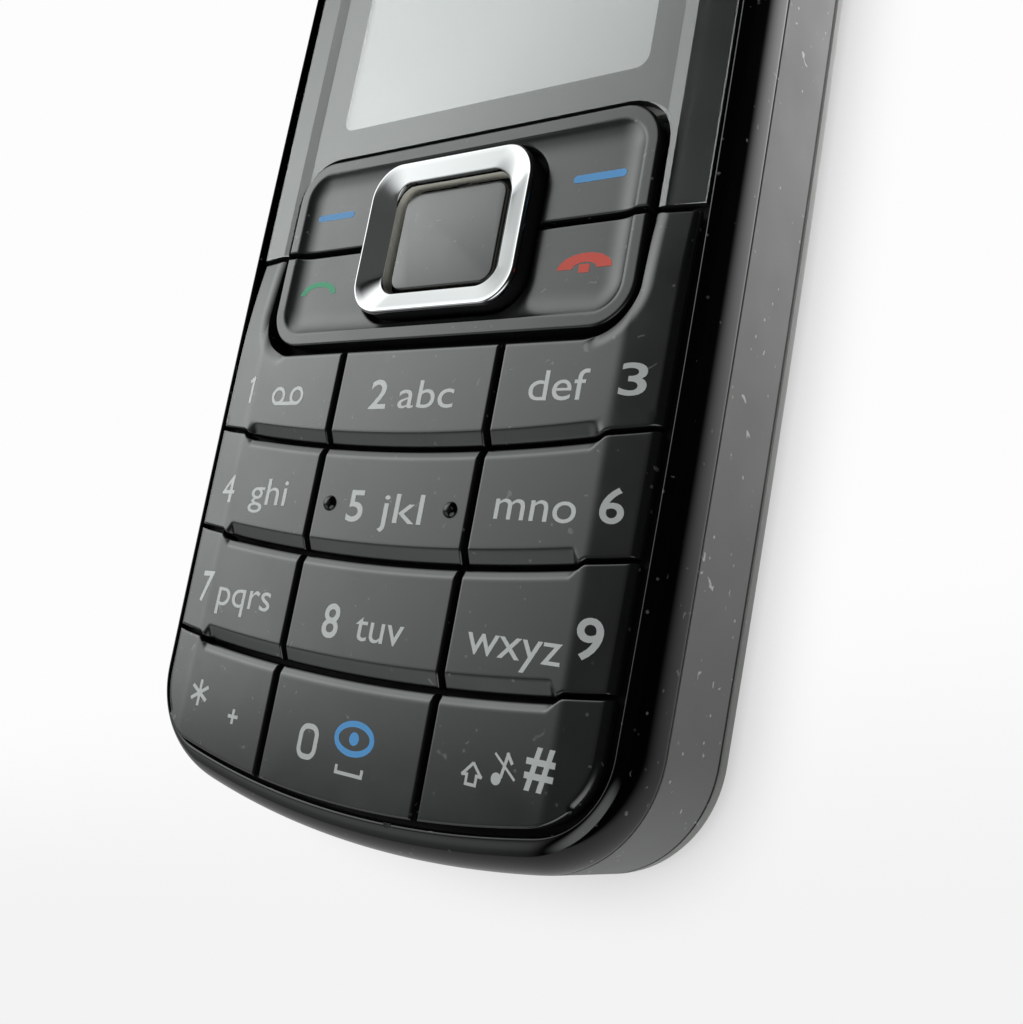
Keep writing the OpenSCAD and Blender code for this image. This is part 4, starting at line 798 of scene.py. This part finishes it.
ring_section = [(0, NAV_SEAT_Z)] + [(share, NAV_TOP_Z - deep) for share, deep in RING_ROUND]
ring_section += [(share, NAV_TOP_Z, fall) for share, fall in RING_FACET]
ring_section += [(share, NAV_TOP_Z - deep, 1.0) for share, deep in RING_LIP]
ring_section += [(1.0, NAV_PLUG_Z), (0.9, NAV_PLUG_Z)]
ring_loops = [ring_loop(*point) for point in ring_section]
sweep("nav_ring_face", ring_loops, SLOT_PAINT["chrome"], "nav_key", ["nav_ring"], close=True,
      sharp=RING_SHARP)
select_loops = []
for inward, z in [(0, SELECT_BASE_Z)] + [(inward, SELECT_Z - deep) for inward, deep in SELECT_ROUND]:
    flat = round_rect(SELECT_W - 2 * inward, SELECT_H - 2 * inward, SELECT_R - inward)
    select_loops.append(at_height(flat, z))
sweep("select_key_cap", select_loops, KEY_MAT, "select_key", ["select_key"])

# Printed legends: thin solids that follow the surface below them
INK_UP, INK_DOWN, INK_STEP = 0.014, 0.02, 0.0015
CAP_SHARE, PRINT_STEP, BOLD, HASH_BOLD, DOT_END = 0.727, 0.35, 0.012, 0.02, 0.05


def letters(text, x0, x1, base, top, bold=0.0):
    """Closed flat solid of a text in the default font, cut every PRINT_STEP on the facets. x fits x0 to x1,
    and y runs from the baseline so that the digit 0 or the letter l reaches top. Returns points, with z of -1
    or 1, and faces."""
    curve = bpy.data.curves.new("letters", "FONT")
    curve.body, curve.extrude, curve.offset, curve.resolution_u = text, 1.0, bold, 5
    holder = bpy.data.objects.new("letters", curve)
    scene.collection.objects.link(holder)
    mesh = bpy.data.meshes.new_from_object(holder.evaluated_get(bpy.context.evaluated_depsgraph_get()))
    bpy.data.objects.remove(holder)
    co = np.empty(len(mesh.vertices) * 3)
    mesh.vertices.foreach_get("co", co)
    co = co.reshape(-1, 3)
    wide = co[:, 0].min(), co[:, 0].max()
    co[:, 0] = x0 + (co[:, 0] - wide[0]) * (x1 - x0) / (wide[1] - wide[0])
    co[:, 1] = base + co[:, 1] * (top - base) / CAP_SHARE
    mesh.vertices.foreach_set("co", co.ravel())
    solid = bmesh.new()
    solid.from_mesh(mesh)
    bmesh.ops.remove_doubles(solid, verts=solid.verts, dist=1e-5)
    for x in np.arange(np.ceil(x0 / PRINT_STEP) * PRINT_STEP, x1, PRINT_STEP):
        if abs(x) > FACET_X:
            everything = solid.verts[:] + solid.edges[:] + solid.faces[:]
            bmesh.ops.bisect_plane(solid, geom=everything, plane_co=(x, 0, 0), plane_no=(1, 0, 0))
    solid.verts.index_update()
    points = np.array([v.co[:] for v in solid.verts])
    faces = [[v.index for v in f.verts] for f in solid.faces]
    solid.free()
    bpy.data.meshes.remove(mesh)
    return points, faces


def stroke(path, width, closed=False):
    """Closed flat solid along a plan path with one width or a width at each point; z of -1 or 1."""
    path = np.asarray(path, float)
    if closed:
        step = np.roll(path, -1, 0) - np.roll(path, 1, 0)
    else:
        step = np.gradient(path, axis=0)
    normal = np.stack([-step[:, 1], step[:, 0]], 1) / np.linalg.norm(step, axis=1)[:, None]
    half = normal * (np.broadcast_to(width, len(path)) / 2)[:, None]
    return ribbon(path + half, path - half, closed)


def ribbon(left, right, closed=False):
    """Closed flat solid between two plan rails; z of -1 or 1."""
    n = len(left)
    low, high = np.full(n, -1.0), np.full(n, 1.0)
    rails = np.stack([np.column_stack([left, high]), np.column_stack([right, high]),
                      np.column_stack([right, low]), np.column_stack([left, low])], 1)
    faces = [f[::-1] for f in grid_faces(n, 4, closed, True)]
    if not closed:
        faces += [[0, 1, 2, 3], [4 * n - 1, 4 * n - 2, 4 * n - 3, 4 * n - 4]]
    return rails.reshape(-1, 3), faces


def ring(centre, r, width):
    """Ring of one stroke width."""
    return stroke(arc(centre, r, 0, 360, 49)[:-1], width, True)


def dot(centre, r):
    """Round spot: a stroke whose width follows a circle."""
    x = np.cos(np.linspace(np.pi - DOT_END, DOT_END, 25)) * r
    return stroke(np.stack([centre[0] + x, np.full_like(x, centre[1])], 1), 2 * np.sqrt(r * r - x * x))


def line(*points, width, round_ends=False):
    """Straight strokes between points, square at the joins; round ends on request."""
    p = np.array(points, float)
    out = []
    for i in range(len(p) - 1):
        ahead = (p[i + 1] - p[i]) / np.linalg.norm(p[i + 1] - p[i])
        start = p[i] - ahead * width / 2 * (i > 0)
        stop = p[i + 1] + ahead * width / 2 * (i < len(p) - 2)
        out.append(stroke(along(np.array([start, stop]), np.linspace(0, 1, 14)), width))
    if round_ends:
        out += [dot(p[0], width / 2), dot(p[-1], width / 2)]
    return out


def legend(name, body, shapes, material, height):
    """One printed piece from flat solids laid on a surface height(x, y)."""
    verts, faces = [], []
    for index, (points, polygons) in enumerate(shapes):
        start = sum(len(v) for v in verts)
        faces += [[i + start for i in f] for f in polygons]
        lift = np.where(points[:, 2] > 0, INK_UP + INK_STEP * index, -INK_DOWN)
        verts.append(np.column_stack([points[:, :2], height(points[:, 0], points[:, 1]) + lift]))
    return make(name, np.concatenate(verts), faces, material, body)


# Marks of the number keys, with x and y on the front of the phone
KEY_MARKS = {
    "key_1": [*line((-17.85, -20.95), (-17.4, -20.68), (-17.4, -22.75), width=0.27),
              ring((-14.05, -22.25), 0.62, 0.28), ring((-11.95, -22.25), 0.62, 0.28),
              *line((-14.05, -22.87), (-11.95, -22.87), width=0.28)],
    "key_2": [letters("2", -3.9, -2.2, -23.4, -21.1, BOLD), letters("abc", -1.0, 4.2, -23.4, -21.2)],
    "key_3": [letters("def", 10.6, 15.25, -23.0, -20.8), letters("3", 17.55, 19.4, -22.7, -20.5, BOLD)],
    "key_4": [letters("4", -18.4, -16.8, -31.1, -28.7), letters("ghi", -14.8, -10.65, -31.1, -28.9)],
    "key_5": [letters("5", -3.9, -2.3, -31.9, -29.5, BOLD), letters("jkl", -0.6, 3.4, -31.85, -29.6)],
    "key_6": [letters("mno", 9.6, 16.0, -31.1, -28.9), letters("6", 17.65, 19.3, -30.9, -28.6, BOLD)],
    "key_7": [letters("7", -18.4, -16.9, -39.1, -36.6, BOLD), letters("pqrs", -16.0, -9.9, -39.25, -37.0)],
    "key_8": [letters("8", -4.0, -2.4, -40.4, -37.9, BOLD), letters("tuv", -0.7, 3.8, -40.3, -38.1)],
    "key_9": [letters("wxyz", 9.3, 16.7, -40.0, -37.8), letters("9", 17.5, 19.3, -39.3, -36.7, BOLD)],
    "key_star": [*line((-15.6, -47.1), (-15.6, -45.1), width=0.28),
                 *line((-16.5, -46.62), (-14.7, -45.58), width=0.28),
                 *line((-16.5, -45.58), (-14.7, -46.62), width=0.28),
                 *line((-11.85, -47.3), (-10.75, -47.3), width=0.26),
                 *line((-11.3, -47.85), (-11.3, -46.75), width=0.26)],
    "key_0": [stroke(round_rect(1.55, 2.1, 0.6, (-3.07, -47.77), 8, 3), 0.38, True),
              *line((0.1, -48.78), (0.1, -49.28), (2.5, -49.28), (2.5, -48.78), width=0.24)],
    "key_hash": [letters("#", 15.5, 17.6, -47.2, -44.6, HASH_BOLD),
                 *line((11.62, -46.65), (10.9, -47.42), (11.24, -47.42), (11.24, -48.0), (12.0, -48.0),
                       (12.0, -47.42), (12.34, -47.42), (11.62, -46.65), width=0.2),
                 *line((13.83, -47.2), (14.13, -45.72), (14.55, -46.25), width=0.22),
                 dot((13.5, -47.3), 0.38),
                 *line((13.14, -45.78), (14.9, -47.16), width=0.16)],
}
for key, shapes in KEY_MARKS.items():
    legend(key + "_print", key, shapes, LEGEND, key_height)
SIGN_AT, SIGN_HALF = (1.24, -46.9), (1.66, 1.0)
oval = np.array(SIGN_AT) + arc((0, 0), 1, 0, 352.5, 48) * SIGN_HALF
legend("key_0_sign", "key_0", [stroke(oval, 0.42, True), dot(SIGN_AT, 0.45)], BLUE, key_height)
dashes = line((-14.63, -6.6), (-11.09, -6.6), width=0.54, round_ends=True)
dashes += line((10.79, -6.7), (14.52, -6.7), width=0.56, round_ends=True)
legend("soft_key_dashes", "soft_key_bar", dashes, BLUE, bar_height)


def handset(x, y, outer, inner):
    """Handset sign: the arch between two half ellipses, each given by its half width and height."""
    a = np.linspace(np.pi, 0, 41)
    rails = [np.stack([x + w * np.cos(a), y + h * np.sin(a)], 1) for w, h in (outer, inner)]
    return ribbon(*rails)


legend("call_sign", "call_key_bar", [handset(-13.07, -13.38, (1.98, 1.1), (1.45, 0.64))], GREEN, bar_height)
end_shapes = [handset(12.66, -13.42, (2.22, 1.12), (0.98, 0.46))]
end_shapes += line((12.23, -13.42), (13.09, -13.42), width=0.6)
legend("end_sign", "call_key_bar", end_shapes, RED, bar_height)

# Microphone notch: a dark half disc laid on the rim's lower inner edge, painted shade in place of the notch's
# hollow
NOTCH_X, NOTCH_R, NOTCH_IN = 4.75, 0.35, 0.02


def rim_height(x, y):
    """Height of the frame's rim at its lower end."""
    return np.interp(y + end_y(x, HALF_L), rim_top[:, 1], rim_top[:, 2])


across = np.linspace(-NOTCH_R, NOTCH_R, 25)
flat_edge = RIM_IN * RIM_END / RIM_SIDE - end_y(NOTCH_X + across, HALF_L) - NOTCH_IN
round_edge = flat_edge - np.sqrt(NOTCH_R**2 - across**2)
rails = [np.stack([NOTCH_X + across, edge], 1) for edge in (flat_edge, round_edge)]
legend("microphone_notch_shade", "casing", [ribbon(*rails)], SLOT_PAINT["black_plastic"], rim_height)

# Finger marks on the middle key: low domes
PIP_R, PIP_H, PIP_X, PIP_Y, PIP_SUNK, PIP_FOOT = 0.6, 0.45, 5.8, -30.675, 0.05, 0.1
PIP_ANGLES = (0, 12, 25, 38, 52, 66, 80)
for name, x in (("key_5_pip_left", -PIP_X), ("key_5_pip_right", PIP_X)):
    loops = []
    for a in np.radians(PIP_ANGLES):
        circle = arc((x, PIP_Y), PIP_R * np.cos(a), 0, 345, 24)
        loops.append(at_height(circle, FRONT_Z - PIP_SUNK + PIP_H * np.sin(a)))
    loops.insert(0, loops[0] - [0, 0, PIP_FOOT])
    sweep(name, loops, SLOT_PAINT["gloss_black"], "key_5")

# Floor, light and surroundings. Each pair is the two limits between which a strength changes
FLOOR_HALF, SHADE, SHADE_REACH = 3.0, 0.5, 0.006
CARD_X, CARD_GLOW = (0.03, 0.044), 0.015
LEFT_X, LEFT_GLOW = (-0.4, -0.1), 0.5
NEAR_Y, NEAR_GLOW = (-0.05, 0.025), 0.18
FRONT_Y, FRONT_LEAN = (-0.06, -0.036), -0.25


def light_table(name, seen, seen_front, lit, mirrored):
    """White floor that glows: one strength to the camera, lower in front and in the shade beside the object,
    one to lit surfaces, and one in mirrored views, where it ends at a black card on the right."""
    mat, tree = new_material(name)
    tree.nodes.remove(tree.nodes["Principled BSDF"])
    glow = tree.nodes.new("ShaderNodeEmission")
    path = tree.nodes.new("ShaderNodeLightPath")
    place = tree.nodes.new("ShaderNodeSeparateXYZ")
    link(tree, tree.nodes.new("ShaderNodeNewGeometry").outputs["Position"], place.inputs[0])
    x, y = place.outputs["X"], place.outputs["Y"]
    card = soft_step(tree, x, *CARD_X, mirrored, CARD_GLOW)
    glossy = math(tree, "MULTIPLY", card, soft_step(tree, x, *LEFT_X, LEFT_GLOW, 1))
    more = math(tree, "SUBTRACT", glossy, lit)
    other = math(tree, "MULTIPLY_ADD", path.outputs["Is Glossy Ray"], more, lit)
    other = math(tree, "MULTIPLY", other, soft_step(tree, y, *NEAR_Y, NEAR_GLOW, 1))
    front = math(tree, "MULTIPLY_ADD", x, FRONT_LEAN, y)
    cover = tree.nodes.new("ShaderNodeAmbientOcclusion")
    cover.inputs["Distance"].default_value = SHADE_REACH
    shade = soft_step(tree, cover.outputs["AO"], 0, 1, 1 - SHADE, 1)
    open_view = math(tree, "MULTIPLY", soft_step(tree, front, *FRONT_Y, seen_front, seen), shade)
    drop = math(tree, "SUBTRACT", open_view, other)
    strength = math(tree, "MULTIPLY_ADD", path.outputs["Is Camera Ray"], drop, other)
    link(tree, strength, glow.inputs["Strength"])
    link(tree, glow.outputs["Emission"], tree.nodes["Material Output"].inputs["Surface"])
    return mat


floor_corners = [(x * FLOOR_HALF, y * FLOOR_HALF, 0) for x, y in ((-1, -1), (1, -1), (1, 1), (-1, 1))]
floor_mesh = bpy.data.meshes.new("floor")
floor_mesh.from_pydata(floor_corners, [], [(0, 1, 2, 3)])
floor_mesh.materials.append(light_table("floor", seen=0.98, seen_front=0.896, lit=1.1, mirrored=2.2))
floor = bpy.data.objects.new("floor", floor_mesh)
scene.collection.objects.link(floor)

SKY, SKY_DARK, SKY_TOP, SKY_SEEN, SKY_COLOR = 4.0, 0.01, 0.12, 0.93, (0.955, 1, 0.985, 1)
SPOT, SPOT_FROM, SPOT_EDGE = 1.9, (0.452, -0.854, 0.256), (0.75, 0.98)
SIDE_FADE, TOP_FADE, TOP_SIDE_FADE = (-0.5, -0.2), (0.84, 0.93), (0.05, 0.3)
BY_HEIGHT = [
    (0, 0.2), (0.2, 0.36), (0.3, 0.52), (0.37, 0.72), (0.5, 0.9), (0.62, 0.9), (0.695, 0.65), (0.76, 0.48),
    (0.82, 0.34), (0.88, 0.15), (0.93, 0.03), (1, 0.01),
]
BY_LENGTH = [
    (0, 0.24), (0.3, 0.24), (0.4, 0.1), (0.44, 0.05), (0.459, 0.09), (0.477, 0.56), (0.5, 0.65),
    (0.535, 0.73), (0.59, 0.81), (0.65, 1), (0.71, 0.94), (0.775, 0.75), (1, 0.5),
]
world = bpy.data.worlds.new("studio")
scene.world = world
world.use_nodes = True
sky = world.node_tree
coords = sky.nodes.new("ShaderNodeTexCoord").outputs["Generated"]
split = sky.nodes.new("ShaderNodeSeparateXYZ")
link(sky, coords, split.inputs[0])


def profile(value, stops):
    """Strength along one direction, from 0 to 1, with straight changes between stops."""
    node = sky.nodes.new("ShaderNodeValToRGB")
    ramp_stops = node.color_ramp.elements
    while len(ramp_stops) < len(stops):
        ramp_stops.new(0.5)
    for stop, (at, level) in zip(ramp_stops, stops):
        stop.position = at
        stop.color = (level, level, level, 1)
    link(sky, value, node.inputs["Fac"])
    return node.outputs["Color"]


height_part = profile(split.outputs["Z"], BY_HEIGHT)
length_part = profile(math(sky, "MULTIPLY_ADD", split.outputs["Y"], 0.5, 0.5), BY_LENGTH)
side_part = soft_step(sky, split.outputs["X"], *SIDE_FADE, 1, 0)
main = math(sky, "MULTIPLY", math(sky, "MULTIPLY", height_part, length_part), side_part)
toward = sky.nodes.new("ShaderNodeVectorMath")
toward.operation = "DOT_PRODUCT"
toward.inputs[1].default_value = SPOT_FROM
link(sky, coords, toward.inputs[0])
spot = soft_step(sky, toward.outputs["Value"], *SPOT_EDGE, 0, SPOT)
top_part = soft_step(sky, split.outputs["Z"], *TOP_FADE, 0, SKY_TOP - SKY_DARK)
overhead = math(sky, "MULTIPLY", top_part, soft_step(sky, split.outputs["X"], *TOP_SIDE_FADE, 1, 0))
overhead = math(sky, "ADD", overhead, SKY_DARK)
background = sky.nodes["Background"]
background.inputs["Color"].default_value = SKY_COLOR
strength = math(sky, "ADD", math(sky, "MULTIPLY_ADD", main, SKY, overhead), spot)
link(sky, strength, background.inputs["Strength"])

# Behind the floor the camera sees a plain pale wall
wall = sky.nodes.new("ShaderNodeBackground")
wall.inputs["Color"].default_value = (SKY_SEEN, SKY_SEEN, SKY_SEEN, 1)
choice = sky.nodes.new("ShaderNodeMixShader")
link(sky, sky.nodes.new("ShaderNodeLightPath").outputs["Is Camera Ray"], choice.inputs["Fac"])
link(sky, background.outputs["Background"], choice.inputs[1])
link(sky, wall.outputs["Background"], choice.inputs[2])
link(sky, choice.outputs["Shader"], sky.nodes["World Output"].inputs["Surface"])
